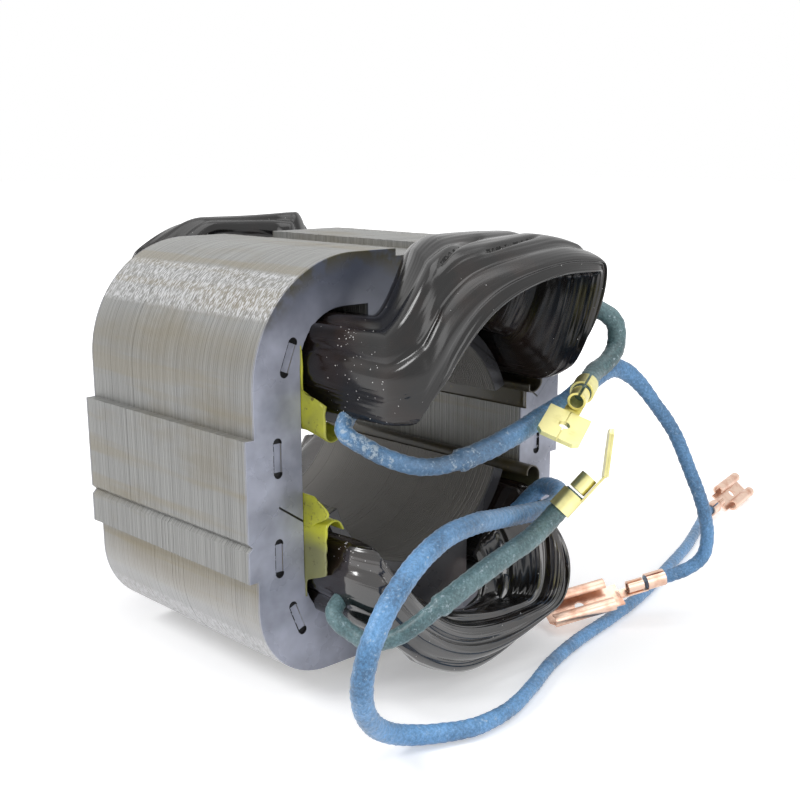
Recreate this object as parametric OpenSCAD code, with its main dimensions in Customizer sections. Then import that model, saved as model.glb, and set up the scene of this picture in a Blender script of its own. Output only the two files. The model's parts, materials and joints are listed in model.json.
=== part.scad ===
// Wound field of a two-pole universal motor: a laminated core split into two like halves,
// two saddle windings, slot liners and four sleeved leads with their terminals.
// The bore axis is X, the leads leave at the +X end, and +Z is up through the poles.

/* [Core] */
// Length of the lamination stack along the bore
stack_l = 48; // [36:1:64]
// Height of the stack over its top and bottom faces
stack_h = 69; // [65:0.5:80]
// Width of the stack over its side faces, without the pads
stack_w = 71; // [67:0.5:84]
// Radius of the large corner on each half
round_r = 20.5; // [12:0.5:24]
// Radius of the smaller corner on each half
tight_r = 13.5; // [6:0.5:18]
// Height of the raised pad on each side
pad_step = 1.7; // [0.8:0.1:3]
// Reach of a pad past the axis on its short side
pad_short = 7; // [4:0.5:10]
// Reach of a pad past the axis on its long side
pad_long = 16; // [13:0.5:19]
// Width of the channel along the top and bottom faces
channel_w = 11.5; // [6:0.5:18]
// Depth of that channel
channel_d = 1.2; // [0.6:0.1:2.5]
// Thickness of the limbs beside the bore
limb_t = 9.2; // [8:0.1:11]
// Thickness of the yoke behind the poles
back_t = 8.5; // [6:0.5:10]
// Radius of the inner corners of the slots
slot_r = 4; // [2:0.5:5]
// Width of the neck of each pole
pole_w = 24; // [18:0.5:28]
// Diameter of the bore between the pole faces
bore_d = 41; // [36:0.5:43]
// Angle that each pole face covers
pole_arc = 139; // [137:0.5:142]
// Thickness of the pole horns behind the face
horn_t = 2.6; // [1.6:0.1:3.2]

/* [Joint between the halves] */
// Depth of the joint's ridge from the side face
ridge_in = 4.4; // [3:0.1:5.5]
// Drop of the ridge below the axis
ridge_drop = 4.6; // [3.5:0.1:6]
// Drop of the joint's edges below the ridge
ridge_h = 4; // [2.5:0.1:5]
// Depth of the groove where the joint meets the pad
groove_d = 0.8; // [0.3:0.1:1.4]
// Length of an interlock dimple in the end face
dimple_l = 6.5; // [4:0.5:8]
// Width of an interlock dimple
dimple_w = 1.6; // [1:0.1:2.4]
// Depth of an interlock dimple
dimple_d = 0.35; // [0.2:0.05:0.8]

/* [Windings] */
// Clearance between a winding and the core
slot_gap = 0.6; // [0.5:0.05:1]
// Height of the end turns' crowns over the bore axis
crown_h = 37.5; // [36.5:0.5:42]
// Upper winding, lead end: gap between the stack and the end turn
upper_gap = 6; // [5:0.5:8]
// Upper winding, lead end: reach on the left
upper_left = 26; // [20:0.5:30]
// Upper winding, lead end: reach on the right
upper_right = 22; // [18:0.5:26]
// Upper winding, lead end: plan radius of the outer corners
upper_r = 7; // [5:0.5:9]
// Upper winding, lead end: height of the arch over the bore axis
upper_arch = 30; // [26:0.5:31]
// Upper winding, lead end: lean of the crown towards the stack
upper_lean = 4; // [0:0.25:4.5]
// Lower winding, lead end: gap between the stack and the end turn
lower_gap = 4; // [3.5:0.5:6]
// Lower winding, lead end: reach on the left
lower_left = 17.5; // [15:0.5:22]
// Lower winding, lead end: reach on the right
lower_right = 18.5; // [15:0.5:22]
// Lower winding, lead end: plan radius of the outer corners
lower_r = 9; // [6:0.5:11]
// Lower winding, lead end: height of the arch over the bore axis
lower_arch = 28.5; // [26:0.5:31]
// Back end of both windings: gap between the stack and the end turn
back_gap = 5; // [4:0.5:7]
// Back end of both windings: reach where the wire leaves the slot
back_first = 17; // [15:0.5:22]
// Back end of both windings: reach where the wire returns
back_last = 11; // [10:0.5:16]
// Back end of both windings: plan radius of the outer corners
back_r = 6; // [4:0.5:8]
// Back end of both windings: height of the arch over the bore axis
back_arch = 28; // [26:0.5:31]
// Depth of the grooves between bundles of turns
bundle_groove = 0.55; // [0:0.05:1]

/* [Slot liners] */
// Thickness of the liner film
film_t = 0.25; // [0.15:0.05:0.3]
// Reach of the film beyond each end of the stack
film_out = 5.5; // [2:0.5:8]
// Width of the hook that closes a slot's mouth
hook_w = 3.6; // [2.5:0.1:4]
// Height of the film on the limb above the slot's mouth
film_h = 12; // [6:0.5:13]
// Reach of the long tail past the slot's mouth
film_tail = 5.5; // [2:0.5:7]

/* [Leads and terminals] */
// Diameter of the leads over their sleeves
lead_d = 3.2; // [2.6:0.1:3.4]
// Diameter of the long leads past their sleeves
wire_d = 2.3; // [1.8:0.1:2.6]
// Thickness of the terminals' sheet
sheet_t = 0.4; // [0.3:0.05:0.5]
// Width of a receptacle over its rolled edges
box_w = 7.6; // [6.4:0.1:9]
// Length of a receptacle's rolled part
box_l = 12; // [8:0.5:14]
// Height of a receptacle over its base
box_h = 2.5; // [2:0.1:3.2]
// Length of the wings that grip the sleeve
wing_l = 4; // [3:0.25:5]
// Length of the barrel that grips the wire
barrel_l = 3.5; // [2.5:0.25:5]
// Length of the neck between barrel and contact
neck_l = 2.2; // [1.5:0.1:4]
// Width of a tab
tab_w = 7.2; // [5:0.1:8]
// Length of a tab
tab_l = 8; // [6:0.5:10]
// Chamfer at a tab's tip
tab_tip = 0.9; // [0.4:0.1:1.4]
// Diameter of the catch hole of a tab or a receptacle
catch_d = 1.9; // [1.2:0.1:2.4]

/* [Hidden] */
$fn = 64;

// Core
half_l = stack_l / 2;
half_h = stack_h / 2;
half_w = stack_w / 2;
wall_y = half_w - limb_t;
bore_r = bore_d / 2;
horn_r = bore_r + horn_t;
tip_a = pole_arc / 2;
pad_y = half_w + pad_step;
ridge_y = half_w - ridge_in;
ridge_slope = ridge_h / ridge_in;
joint_z = -ridge_drop - ridge_slope * (pad_y - ridge_y);
joint_in_z = -ridge_drop - ridge_slope * (ridge_y - wall_y) * 0.75;
// Dimples: distance in from the side face, height, tilt
dimples = [[7, 19, 22], [4.4, 3.4, 0], [4.2, -13, 0], [7.6, -24, -22]];

// Windings
slot_in = pole_w / 2 + slot_gap;
slot_out = wall_y - slot_gap;
slot_top = half_h - back_t - slot_gap;
slot_low = horn_r * cos(tip_a) + slot_gap;
under_r = horn_r + slot_gap;
inner_leg = 2;
leg = 0.25;
bend = 0.4;
slot_power = 3;
// End turns: gap, first and last reach, corner radius, lean, arch height, roundness, and the stations
// between which the crown and the arch rise and fall again
upper_turn = [upper_gap, upper_left, upper_right, upper_r, upper_lean, upper_arch, 2.3,
              [0.2, 0.8, 1.2, 1.85], [0.6, 1.2, 1.4, 1.85]];
lower_turn = [lower_gap, lower_left, lower_right, lower_r, 0, lower_arch, 2,
              [0.3, 0.95, 0.95, 1.65], [0.6, 1.2, 1.3, 1.9]];
back_turn = [back_gap, back_first, back_last, back_r, 0, back_arch, 2.2,
             [0.1, 0.4, 1.1, 1.7], [0.4, 0.9, 1, 1.6]];
bundles = 8;
around = 4 * bundles;
half_turn = [0, 0.14, 0.25, 0.33, 0.41, 0.49, 0.57, 0.65, 0.78, 0.9, 1];

// Liners
film_gap = 0.05;
film_y = wall_y - film_gap;

// Routes of the leads, from the winding to the terminal
upper_blue = [[33, -25.3, 8.8], [37, -24, 6.2], [40, -21, 4.2], [42.5, -17, 3], [44, -11.5, 3.2],
              [45, -5, 4.5], [45, 2, 6], [43.5, 9, 7], [42, 17, 8.1], [41, 25, 10.5], [41, 31.5, 12.2],
              [42.5, 36, 10], [44.5, 40, 5], [46.5, 44, -1], [48.5, 46.5, -8], [50.5, 48.5, -15],
              [51, 50, -21], [50.5, 49.5, -25.5], [48.2, 46.2, -28.2], [44.3, 39.8, -29.8]];
upper_teal = [[30, 27.1, 20], [35, 26.9, 22], [39, 28, 23], [42, 30, 20.8], [42.7, 29.8, 16.5],
              [43.2, 26.5, 14], [43.6, 22.5, 12.8], [47.6, 14.2, 10.9]];
lower_teal = [[32, -27, -21], [37, -26.4, -23.8], [41, -26.2, -23.6], [45, -24, -21.5], [47.5, -19.5, -18],
              [48.5, -13, -15], [48.5, -6, -13], [48.5, 0, -11.5], [47.5, 5, -10.5], [47.6, 8.5, -8.6],
              [49.3, 11.3, -5.2]];
lower_blue = [[31.6, 24, -10.5], [37, 22, -9.5], [40, 18, -10.2], [41.5, 13.5, -10.2], [42.5, 8.5, -9.6],
              [44, 2, -8.5], [46.5, -5, -7], [49.5, -13, -5.3], [51, -20, -5], [52.5, -26, -5.8],
              [54, -32, -8], [55, -37, -11.5], [55.5, -40.5, -16], [55, -41.5, -21.5], [53, -39, -27], [50.5, -34, -32],
              [50, -28.5, -35], [52, -23, -35.9], [54, -17, -36.1], [53.5, -9, -36.2], [50.5, 0, -36.3],
              [46.5, 10, -36.3], [43.5, 21, -36.3], [41.5, 32, -36.3], [39, 44, -36.3],
              [35.5, 56, -36.3], [31.5, 68, -36.3], [27, 81, -36.2], [21.5, 94, -35.9], [17.7, 103, -35.4],
              [16.5, 109, -35]];
lead_sides = 8;

// Part of the way along a long lead where its sleeve ends
sleeve_end = [0.5, 0.65];

// Terminals
wing_gap = 0.1;
base_z = -box_h / 2;

steel = [0.60, 0.61, 0.64];
varnish = [0.10, 0.09, 0.09];
film = [0.70, 0.72, 0.16];
blue = [0.30, 0.48, 0.68];
teal = [0.33, 0.47, 0.48];
brass = [0.85, 0.79, 0.42];
copper = [0.74, 0.50, 0.36];

function mix(a, b, k) = a + (b - a) * k;
function ease(k) = let(c = min(1, max(0, k))) c * c * (3 - 2 * c);
function unit(v) = v / norm(v);

// Draws a profile given across the bore along the bore
module along_bore(length) {
    rotate([90, 0, 90]) linear_extrude(length, center = true) children();
}

// What a rounded corner of radius r leaves outside it, for the corner at the origin
module corner_waste(r) {
    difference() {
        translate([-r, -r]) square(2 * r);
        translate([-r, -r]) circle(r);
        translate([-2 * r, -2 * r]) square([2 * r, r]);
        translate([-2 * r, -2 * r]) square([r, 2 * r]);
    }
}

// Outline of the whole core: pads, channels and the two kinds of corner
module core_outline() {
    difference() {
        union() {
            square([stack_w, stack_h], center = true);
            for (turn = [0, 180]) rotate(turn)
                translate([-pad_y, -pad_long]) square([2 * pad_step, pad_long + pad_short]);
        }
        for (turn = [0, 180]) rotate(turn) {
            translate([half_w, half_h]) corner_waste(tight_r);
            translate([-half_w, half_h]) mirror([1, 0]) corner_waste(round_r);
            translate([-channel_w / 2, half_h - channel_d]) square([channel_w, 2 * channel_d]);
        }
    }
}

// The slots and the bore's surroundings, before the poles stand in them
module core_window() {
    window_h = half_h - back_t;
    difference() {
        square([2 * wall_y, 2 * window_h], center = true);
        for (sx = [0, 1], sy = [0, 1]) mirror([sx, 0]) mirror([0, sy])
            translate([wall_y, window_h]) corner_waste(slot_r);
    }
}

// One pole above the axis: neck and horns
module pole() {
    far = 4 * horn_r;
    intersection() {
        circle(horn_r);
        polygon([[0, 0], [-far * sin(tip_a), far * cos(tip_a)], [-far, far], [far, far],
                 [far * sin(tip_a), far * cos(tip_a)]]);
    }
    translate([-pole_w / 2, bore_r / 2]) square([pole_w, half_h - back_t / 2 - bore_r / 2]);
}

// The side of the joint that belongs to the upper half
module upper_side() {
    out = 2 * pad_y;
    out_z = -ridge_drop - ridge_slope * (out - ridge_y);
    polygon([[-out, out_z], [-ridge_y, -ridge_drop], [-wall_y, joint_in_z], [wall_y, -joint_in_z],
             [ridge_y, ridge_drop], [out, -out_z], [out, stack_h], [-out, stack_h]]);
}

// A groove of this depth along each outer edge of the joint
module joint_grooves() {
    for (turn = [0, 180]) rotate(turn)
        translate([-pad_y, joint_z]) rotate(45) square(groove_d * sqrt(2), center = true);
}

// Interlock marks of one half, as flat shapes on the end face
module dimple_marks() {
    for (turn = [0, 180], d = dimples) rotate(turn) translate([-half_w + d[0], d[1]]) rotate(-d[2]) {
        square([dimple_w, dimple_l - dimple_w], center = true);
        for (s = [-1, 1]) translate([0, s * (dimple_l - dimple_w) / 2]) circle(d = dimple_w);
    }
}

// Section of the upper half without its pole
module half_section() {
    intersection() {
        difference() {
            core_outline();
            core_window();
            joint_grooves();
        }
        upper_side();
    }
}

// Upper half of the core: pressed in at one end face and standing out at the other
module core_half() {
    difference() {
        union() {
            along_bore(stack_l) half_section();
            along_bore(stack_l) pole();
            translate([-half_l, 0, 0]) along_bore(2 * dimple_d) intersection() {
                dimple_marks();
                half_section();
            }
        }
        rotate([0, 90, 0]) cylinder(h = 2 * stack_l, r = bore_r, center = true);
        translate([half_l, 0, 0]) along_bore(2 * dimple_d) dimple_marks();
    }
}

module core_upper() { color(steel) core_half(); }
module core_lower() { color(steel) rotate([180, 0, 0]) core_half(); }

// Plan of one side of an end turn, from the stack (s = 0) to the middle of the crossing (s = 1):
// distance out from the stack and distance from the middle
function plan(s, half, reach, r) =
    s < leg ? [(reach - r) * s / leg, half] :
    s < leg + bend ? let(a = 90 * (s - leg) / bend) [reach - r + r * sin(a), half - r * (1 - cos(a))] :
    [reach, (half - r) * (1 - (s - leg - bend) / (1 - leg - bend))];

// Height of the winding's underside in the slot, which follows the pole's horn
function slot_floor(y) = max(slot_low, sqrt(max(0, under_r * under_r - y * y)));

// A point round the bundle, from -1 to 1 across and up, with grooves between the bundles of turns
function bundle(a, power) =
    let(c = cos(a), s = sin(a), dip = 1 - bundle_groove / 16 * (1 - cos(bundles * a)))
    dip * [sign(c) * pow(abs(c), 2 / power), sign(s) * pow(abs(s), 2 / power)];

// Rises from 0 to 1 between the first two stations and falls back between the last two
function swell(t, at) = ease((t - at[0]) / (at[1] - at[0])) * (1 - ease((t - at[2]) / (at[3] - at[2])));

// One ring of an end turn at station t, from the slot that the wire leaves (0) to the one it enters (2)
function ring(t, end, turn) =
    let(s = min(t, 2 - t), side = t < 1 ? -end : end,
        rise = swell(t, turn[7]), lift = swell(t, turn[8]),
        p_in = plan(s, slot_in, turn[0], turn[0] - inner_leg),
        p_out = plan(s, slot_out, mix(turn[1], turn[2], t / 2), turn[3]),
        power = mix(slot_power, turn[6], rise))
    [for (i = [0 : around - 1])
        let(b = bundle(360 * i / around, power),
            p = mix(p_in, p_out, (b[0] + 1) / 2),
            under = slot_floor(p[1]),
            low = mix(under, max(under, turn[5]), lift),
            top = mix(slot_top, crown_h, rise))
        [end * (half_l + p[0] - turn[4] * rise * b[1]), side * p[1], mix(low, top, (b[1] + 1) / 2)]];

// Rings all round a winding: over the lead end from left to right, and back over the other end
function winding_rings(front) =
    let(n = len(half_turn))
    [for (end = [1, -1])
        let(turn = end > 0 ? front : back_turn)
        each concat([for (i = [0 : n - 1]) ring(half_turn[i], end, turn)],
                    [for (i = [n - 2 : -1 : 0]) ring(2 - half_turn[i], end, turn)])];

// A closed skin over rings of equal size, joined end to start or capped
module skin(rings, closed) {
    n = len(rings[0]);
    m = len(rings);
    points = [for (r = rings) each r];
    sides = [for (i = [0 : m - (closed ? 1 : 2)], k = [0 : n - 1])
        let(a = i * n, b = (i + 1) % m * n, j = (k + 1) % n)
        each [[a + k, b + k, b + j], [a + k, b + j, a + j]]];
    caps = closed ? [] : [[for (k = [0 : n - 1]) k], [for (k = [n - 1 : -1 : 0]) (m - 1) * n + k]];
    polyhedron(points, concat(sides, caps));
}

module coil_upper() { color(varnish) skin(winding_rings(upper_turn), true); }
module coil_lower() { color(varnish) mirror([0, 0, 1]) skin(winding_rings(lower_turn), true); }

// Film of one slot above the axis, on the left: the limb's wall and a hook under the winding
module film_profile(tail) {
    hook_r = hook_w / 2;
    mouth_z = slot_low - film_gap;
    translate([-film_y, mouth_z - tail]) square([film_t, film_h + tail]);
    translate([-film_y + hook_r, mouth_z]) difference() {
        circle(hook_r);
        circle(hook_r - film_t);
        translate([-hook_w, 0]) square(2 * hook_w);
    }
}

module liner(tail) {
    color(film) along_bore(stack_l + 2 * film_out) film_profile(tail);
}

module liner_upper_left() { liner(0); }
module liner_lower_right() { rotate([180, 0, 0]) liner(0); }
module liner_upper_right() { mirror([0, 1, 0]) liner(film_tail); }
module liner_lower_left() { rotate([180, 0, 0]) mirror([0, 1, 0]) liner(film_tail); }

// Direction of a route at point i
function heading(route, i) =
    let(n = len(route) - 1)
    unit((i < n ? unit(route[i + 1] - route[i]) : [0, 0, 0]) + (i > 0 ? unit(route[i] - route[i - 1]) : [0, 0, 0]));

// Ring of a lead of diameter d across its route
function lead_ring(p, way, d) =
    let(u = unit(cross(way, abs(way[2]) > 0.9 ? [0, 1, 0] : [0, 0, 1])), v = cross(way, u))
    [for (k = [0 : lead_sides - 1]) let(a = 360 * (k + 0.5) / lead_sides) p + d / 2 * (cos(a) * u + sin(a) * v)];

// A lead along its route, which thins to end_d past its sleeve
module lead(route, end_d) {
    n = len(route) - 1;
    skin([for (i = [0 : n]) lead_ring(route[i], heading(route, i),
        mix(lead_d, end_d, ease((i / n - sleeve_end[0]) / (sleeve_end[1] - sleeve_end[0]))))], false);
}

module lead_upper_blue() { color(blue) lead(upper_blue, wire_d); }
module lead_upper_teal() { color(teal) lead(upper_teal, lead_d); }
module lead_lower_teal() { color(teal) lead(lower_teal, lead_d); }
module lead_lower_blue() { color(blue) lead(lower_blue, wire_d); }

// Turns the X axis along the end of a route and moves the origin to it
module at_end_of(route, roll) {
    n = len(route) - 1;
    d = heading(route, n);
    translate(route[n]) rotate([0, -asin(d[2]), atan2(d[1], d[0])]) rotate([roll, 0, 0]) children();
}

// Underside of a crimp on a lead of diameter d
function sole(d) = -(d + wing_gap) / 2 - sheet_t;

// Wings round the sleeve, barrel on the wire, and the neck along their underside
module crimp(d) {
    bore = d + wing_gap;
    grip = 0.85 * d;
    difference() {
        translate([-wing_l, 0, 0]) rotate([0, 90, 0]) cylinder(h = wing_l, d = bore + 2 * sheet_t);
        translate([-2 * wing_l, 0, 0]) rotate([0, 90, 0]) cylinder(h = 4 * wing_l, d = bore);
        translate([-2 * wing_l, -sheet_t / 2, 0]) cube([4 * wing_l, sheet_t, lead_d]);
    }
    rotate([0, 90, 0]) cylinder(h = barrel_l, d = grip);
    translate([0, -grip / 2, sole(d)]) cube([barrel_l, grip, -sole(d) - 0.3 * grip]);
    translate([-wing_l / 2, -grip / 2, sole(d)]) cube([wing_l, grip, sheet_t]);
    translate([barrel_l, -grip / 2, sole(d)]) cube([neck_l, grip, 1.5 * sheet_t]);
}

// Section of a receptacle: a base whose edges are rolled round
module receptacle_profile() {
    roll_r = box_h / 2;
    translate([-box_w / 2 + roll_r, base_z]) square([box_w - 2 * roll_r, sheet_t]);
    for (s = [0, 1]) mirror([s, 0]) translate([box_w / 2 - roll_r, base_z + roll_r]) difference() {
        circle(roll_r);
        circle(roll_r - sheet_t);
        translate([-box_h, -roll_r + 1.5 * sheet_t]) square([box_h, roll_r - sheet_t]);
    }
}

// The receptacle along X from the neck, with the catch hole in its base
module receptacle() {
    lip = box_w / 5;
    translate([lip, 0, -base_z]) difference() {
        union() {
            rotate([90, 0, 90]) linear_extrude(box_l) receptacle_profile();
            translate([-1.5 * lip, -box_w / 2 + box_h / 2, base_z]) cube([box_l + 2 * lip, box_w - box_h, sheet_t]);
        }
        translate([box_l / 2, 0, base_z - sheet_t]) cylinder(h = 3 * sheet_t, d = catch_d);
    }
}

// A tab of folded sheet along X from the neck, with a chamfered tip and its catch hole
module tab() {
    translate([-sheet_t, 0, 0]) linear_extrude(2 * sheet_t) difference() {
        polygon([[0, -tab_w / 2], [tab_l - tab_tip, -tab_w / 2], [tab_l, -tab_w / 2 + tab_tip],
                 [tab_l, tab_w / 2 - tab_tip], [tab_l - tab_tip, tab_w / 2], [0, tab_w / 2]]);
        translate([tab_l / 2, 0]) circle(d = catch_d);
    }
}

// A terminal on the end of a lead of diameter d: the neck may be bent up or down
module terminal(d, bent) {
    crimp(d);
    translate([barrel_l + neck_l, 0, sole(d)]) rotate([0, -bent, 0]) children();
}

module terminal_upper_brass() { color(brass) at_end_of(upper_teal, -22) terminal(lead_d, -8) tab(); }
module terminal_lower_brass() { color(brass) at_end_of(lower_teal, -25) terminal(lead_d, 35) tab(); }
module terminal_upper_copper() { color(copper) at_end_of(upper_blue, -25) terminal(wire_d, 0) receptacle(); }
module terminal_lower_copper() { color(copper) at_end_of(lower_blue, 40) terminal(wire_d, 0) receptacle(); }

core_upper();
core_lower();
coil_upper();
coil_lower();
liner_upper_left();
liner_upper_right();
liner_lower_left();
liner_lower_right();
lead_upper_blue();
lead_upper_teal();
lead_lower_teal();
lead_lower_blue();
terminal_upper_brass();
terminal_lower_brass();
terminal_upper_copper();
terminal_lower_copper();
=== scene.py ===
"""Wound stator: laminated core halves, varnished windings, slot liners, sleeved leads and terminals."""
import json
import math

import bmesh
import bpy
import numpy as np
from mathutils import Matrix, Vector, geometry, noise

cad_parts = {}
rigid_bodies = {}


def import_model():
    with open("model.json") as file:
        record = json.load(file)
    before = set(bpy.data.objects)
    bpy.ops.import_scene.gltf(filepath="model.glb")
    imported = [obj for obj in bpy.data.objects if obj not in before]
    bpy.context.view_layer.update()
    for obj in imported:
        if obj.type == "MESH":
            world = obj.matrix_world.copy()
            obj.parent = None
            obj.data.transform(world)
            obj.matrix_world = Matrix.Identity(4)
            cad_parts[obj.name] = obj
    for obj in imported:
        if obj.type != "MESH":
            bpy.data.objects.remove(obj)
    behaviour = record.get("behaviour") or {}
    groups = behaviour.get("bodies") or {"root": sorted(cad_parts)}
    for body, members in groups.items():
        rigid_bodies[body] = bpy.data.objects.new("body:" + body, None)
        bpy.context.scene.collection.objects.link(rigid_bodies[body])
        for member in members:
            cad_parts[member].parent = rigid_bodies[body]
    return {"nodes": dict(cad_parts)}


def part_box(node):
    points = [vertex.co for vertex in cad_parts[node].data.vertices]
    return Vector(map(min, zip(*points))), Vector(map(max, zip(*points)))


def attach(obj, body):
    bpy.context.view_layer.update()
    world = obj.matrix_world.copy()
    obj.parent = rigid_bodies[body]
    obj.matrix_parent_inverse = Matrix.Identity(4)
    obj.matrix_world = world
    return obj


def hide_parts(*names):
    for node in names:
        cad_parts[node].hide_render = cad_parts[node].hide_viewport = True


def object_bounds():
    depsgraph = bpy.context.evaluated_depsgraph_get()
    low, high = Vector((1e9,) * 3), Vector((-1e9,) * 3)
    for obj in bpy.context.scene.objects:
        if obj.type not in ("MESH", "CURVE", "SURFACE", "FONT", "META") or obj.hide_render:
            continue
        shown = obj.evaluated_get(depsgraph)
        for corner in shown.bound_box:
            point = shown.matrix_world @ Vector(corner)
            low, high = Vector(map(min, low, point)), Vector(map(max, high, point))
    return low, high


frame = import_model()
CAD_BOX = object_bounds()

bl_info = {
    "name": "Wound Stator",
    "version": (1, 0, 0),
    "blender": (4, 5, 0),
    "location": "View3D > Sidebar > Stator",
    "description": "Dresses the two-pole motor field with its sheets, windings, liners, leads and terminals",
    "category": "Object",
}

MM = 0.001
BODY = "root"
# End of the stack along X, top of the upper winding and height of the floor, in millimetres
STACK_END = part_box("core_upper")[1][0] / MM
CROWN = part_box("coil_upper")[1][2] / MM
FLOOR_Z = CAD_BOX[0][2] / MM
FLOOR_HALF, FLOOR_GAP = 3000, 0.02

# Camera: place in metres, direction, shift and sensor width in millimetres
CAMERA_AT, CAMERA_AIM = (0.1689, -0.1417, 0.0502), (-0.6997, 0.6719, -0.2431)
CAMERA_SHIFT, SENSOR = (-0.0125, 0.0625), 36.0

# All sizes from here on are in millimetres
# Routes of the leads, from the winding to the terminal
ROUTES = {
    "lead_upper_blue": [
        (33, -25.3, 8.8), (37, -24, 6.2), (40, -21, 4.2), (42.5, -17, 3), (44, -11.5, 3.2), (45, -5, 4.5),
        (45, 2, 6), (43.5, 9, 7), (42, 17, 8.1), (41, 25, 10.5), (41, 31.5, 12.2), (42.5, 36, 10),
        (44.5, 40, 5), (46.5, 44, -1), (48.5, 46.5, -8), (50.5, 48.5, -15), (51, 50, -21),
        (50.5, 49.5, -25.5), (48.2, 46.2, -28.2), (44.3, 39.8, -29.8)],
    "lead_upper_teal": [
        (30, 27.1, 20), (35, 26.9, 22), (39, 28, 23), (42, 30, 20.8), (42.7, 29.8, 16.5),
        (43.2, 26.5, 14), (43.6, 22.5, 12.8), (47.6, 14.2, 10.9)],
    "lead_lower_teal": [
        (32, -27, -21), (37, -26.4, -23.8), (41, -26.2, -23.6), (45, -24, -21.5), (47.5, -19.5, -18),
        (48.5, -13, -15), (48.5, -6, -13), (48.5, 0, -11.5), (47.5, 5, -10.5), (47.6, 8.5, -8.6),
        (49.3, 11.3, -5.2)],
    "lead_lower_blue": [
        (31.6, 24, -10.5), (37, 22, -9.5), (40, 18, -10.2), (41.5, 13.5, -10.2), (42.5, 8.5, -9.6),
        (44, 2, -8.5), (46.5, -5, -7), (49.5, -13, -5.3), (51, -20, -5), (52.5, -26, -5.8),
        (54, -32, -8), (55, -37, -11.5), (55.5, -40.5, -16), (55, -41.5, -21.5), (53, -39, -27),
        (50.5, -34, -32), (50, -28.5, -35), (52, -23, -35.9), (54, -17, -36.1), (53.5, -9, -36.2),
        (50.5, 0, -36.3), (46.5, 10, -36.3), (43.5, 21, -36.3), (41.5, 32, -36.3), (39, 44, -36.3),
        (35.5, 56, -36.3), (31.5, 68, -36.3), (27, 81, -36.2), (21.5, 94, -35.9), (17.7, 103, -35.4),
        (16.5, 109, -35)],
}
# Where each lead starts, inside its winding
ROOTS = {
    "lead_upper_blue": (31, -19.5, 13), "lead_upper_teal": (28, 21.5, 19),
    "lead_lower_teal": (30, -20, -18), "lead_lower_blue": (28.5, 20.5, -15),
}
# Terminal of each lead: node, receptacle or tab, bend of the neck and roll about the lead
TERMINALS = {
    "lead_upper_blue": ("terminal_upper_copper", "receptacle", 0, -25),
    "lead_upper_teal": ("terminal_upper_brass", "tab", -8, -22),
    "lead_lower_teal": ("terminal_lower_brass", "tab", 35, -25),
    "lead_lower_blue": ("terminal_lower_copper", "receptacle", 0, 40),
}
# Distance between the rings of a lead's sleeve
ROUTE_STEP = 0.45
# Part of the way along a blue lead, counted in its points, where it thins past its sleeve
SLEEVE_END = (0.5, 0.65)
# Point of a route at which the ragged end of a looser outer sleeve lies; it runs on to the terminal
CUFFS = {"lead_upper_blue": 4, "lead_lower_teal": 4}
# Where the upper blue sleeve starts frayed, and where its colour turns darker and greyer
FRAYED, GREYED = (34.5, -25, 7.8), (42, -14, 5)

# Dimples of the left limb: middle (y, z) and tilt in degrees
DIMPLES = ((-28.5, 19.0, 22.0), (-31.1, 3.4, 0.0), (-31.3, -13.0, 0.0), (-27.9, -24.0, -22.0))
# Half the length between the round ends of a dimple, and its depth
DIMPLE_END, DIMPLE_DEPTH = 2.45, 0.35
# Painted shade of a dimple: radius of the dark pits at its ends, place and half width of the dark line along
# its outer edge
PIT_RADIUS, LINE_AT, LINE_HALF = 0.82, -0.68, 0.20
# Ridge (y, z) of the joint between the halves, the normal of its inner slope and half the width of the crack
JOINT, JOINT_NORMAL, CRACK_HALF = (-31.1, -4.6), (0.563, 0.8264), 0.17
# Skin of the end sheets that shows their varnished face, and radius under which the bore shows
FACE_SKIN, BORE_RADIUS = 0.12, 20.75
# Looks of the core: start of the painted highlight on the outer corners, as the sum of y and z; height from
# which painted shade darkens an end face; middle of a slot and radius of the clean zone round it; radius of
# the poles painted near-black as shade
HIGHLIGHT_FROM, SHADE_FROM, SLOT_MIDDLE, CLEAN_RADIUS, SHADED_POLE_RADIUS = 50.0, 10.0, (15.0, 14.0), 17.5, 28.0
# Outer corners of the slots: wall, roof and radius
SLOT_WALL, SLOT_ROOF, SLOT_CORNER = 26.3, 26.0, 9.0

# Winding in the slot: sides, top, bottom, clearance round the pole horns and squareness of the section
SLOT_IN, SLOT_OUT, SLOT_TOP, SLOT_LOW, UNDER_R, SLOT_POWER = 12.6, 25.7, 25.4, 8.69, 23.7, 2.6
# Shares of half an end turn in its leg and its bend, and the inner leg's length
LEG, BEND, INNER_LEG = 0.25, 0.4, 2.0
# End turns in millimetres: gap, first and last reach, corner radius, lean, arch height, roundness, and the
# stations between which the crown and the arch rise and fall again
UPPER_TURN = (6, 26, 22, 7, 4, 30, 2.3, (0.2, 0.8, 1.2, 1.85), (0.6, 1.2, 1.4, 1.85))
LOWER_TURN = (4, 17.5, 18.5, 9, 0, 28.5, 2, (0.3, 0.95, 0.95, 1.65), (0.6, 1.2, 1.3, 1.9))
BACK_TURN = (5, 17, 11, 6, 0, 28, 2.2, (0.1, 0.4, 1.1, 1.7), (0.4, 0.9, 1, 1.6))
# Grooves round a winding and their depth, points round a ring, rings of a front turn, a back turn and a leg
GROOVES, GROOVE_DEPTH, AROUND, FRONT_RINGS, BACK_RINGS, LEG_RINGS = 8, 0.55, 300, 139, 91, 10
# Radius at which the flow round a winding is laid out
FLOW_RADIUS = 12
# Open pits of the upper winding: start and end along it, angle round it and its change per millimetre
PITS = ((24.0, 35.5, 0.74, 0.0454), (32.5, 43.5, 0.63, 0.0244))
# Flakes of dried varnish: places and radii
RESIDUE = (((33.7, -24.1, 22.8), 2.2), ((32.4, -22.3, 10.1), 3.5),
           ((33.1, -24, -11.3), 4.0), ((36, -23, 16), 9.0))

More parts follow.
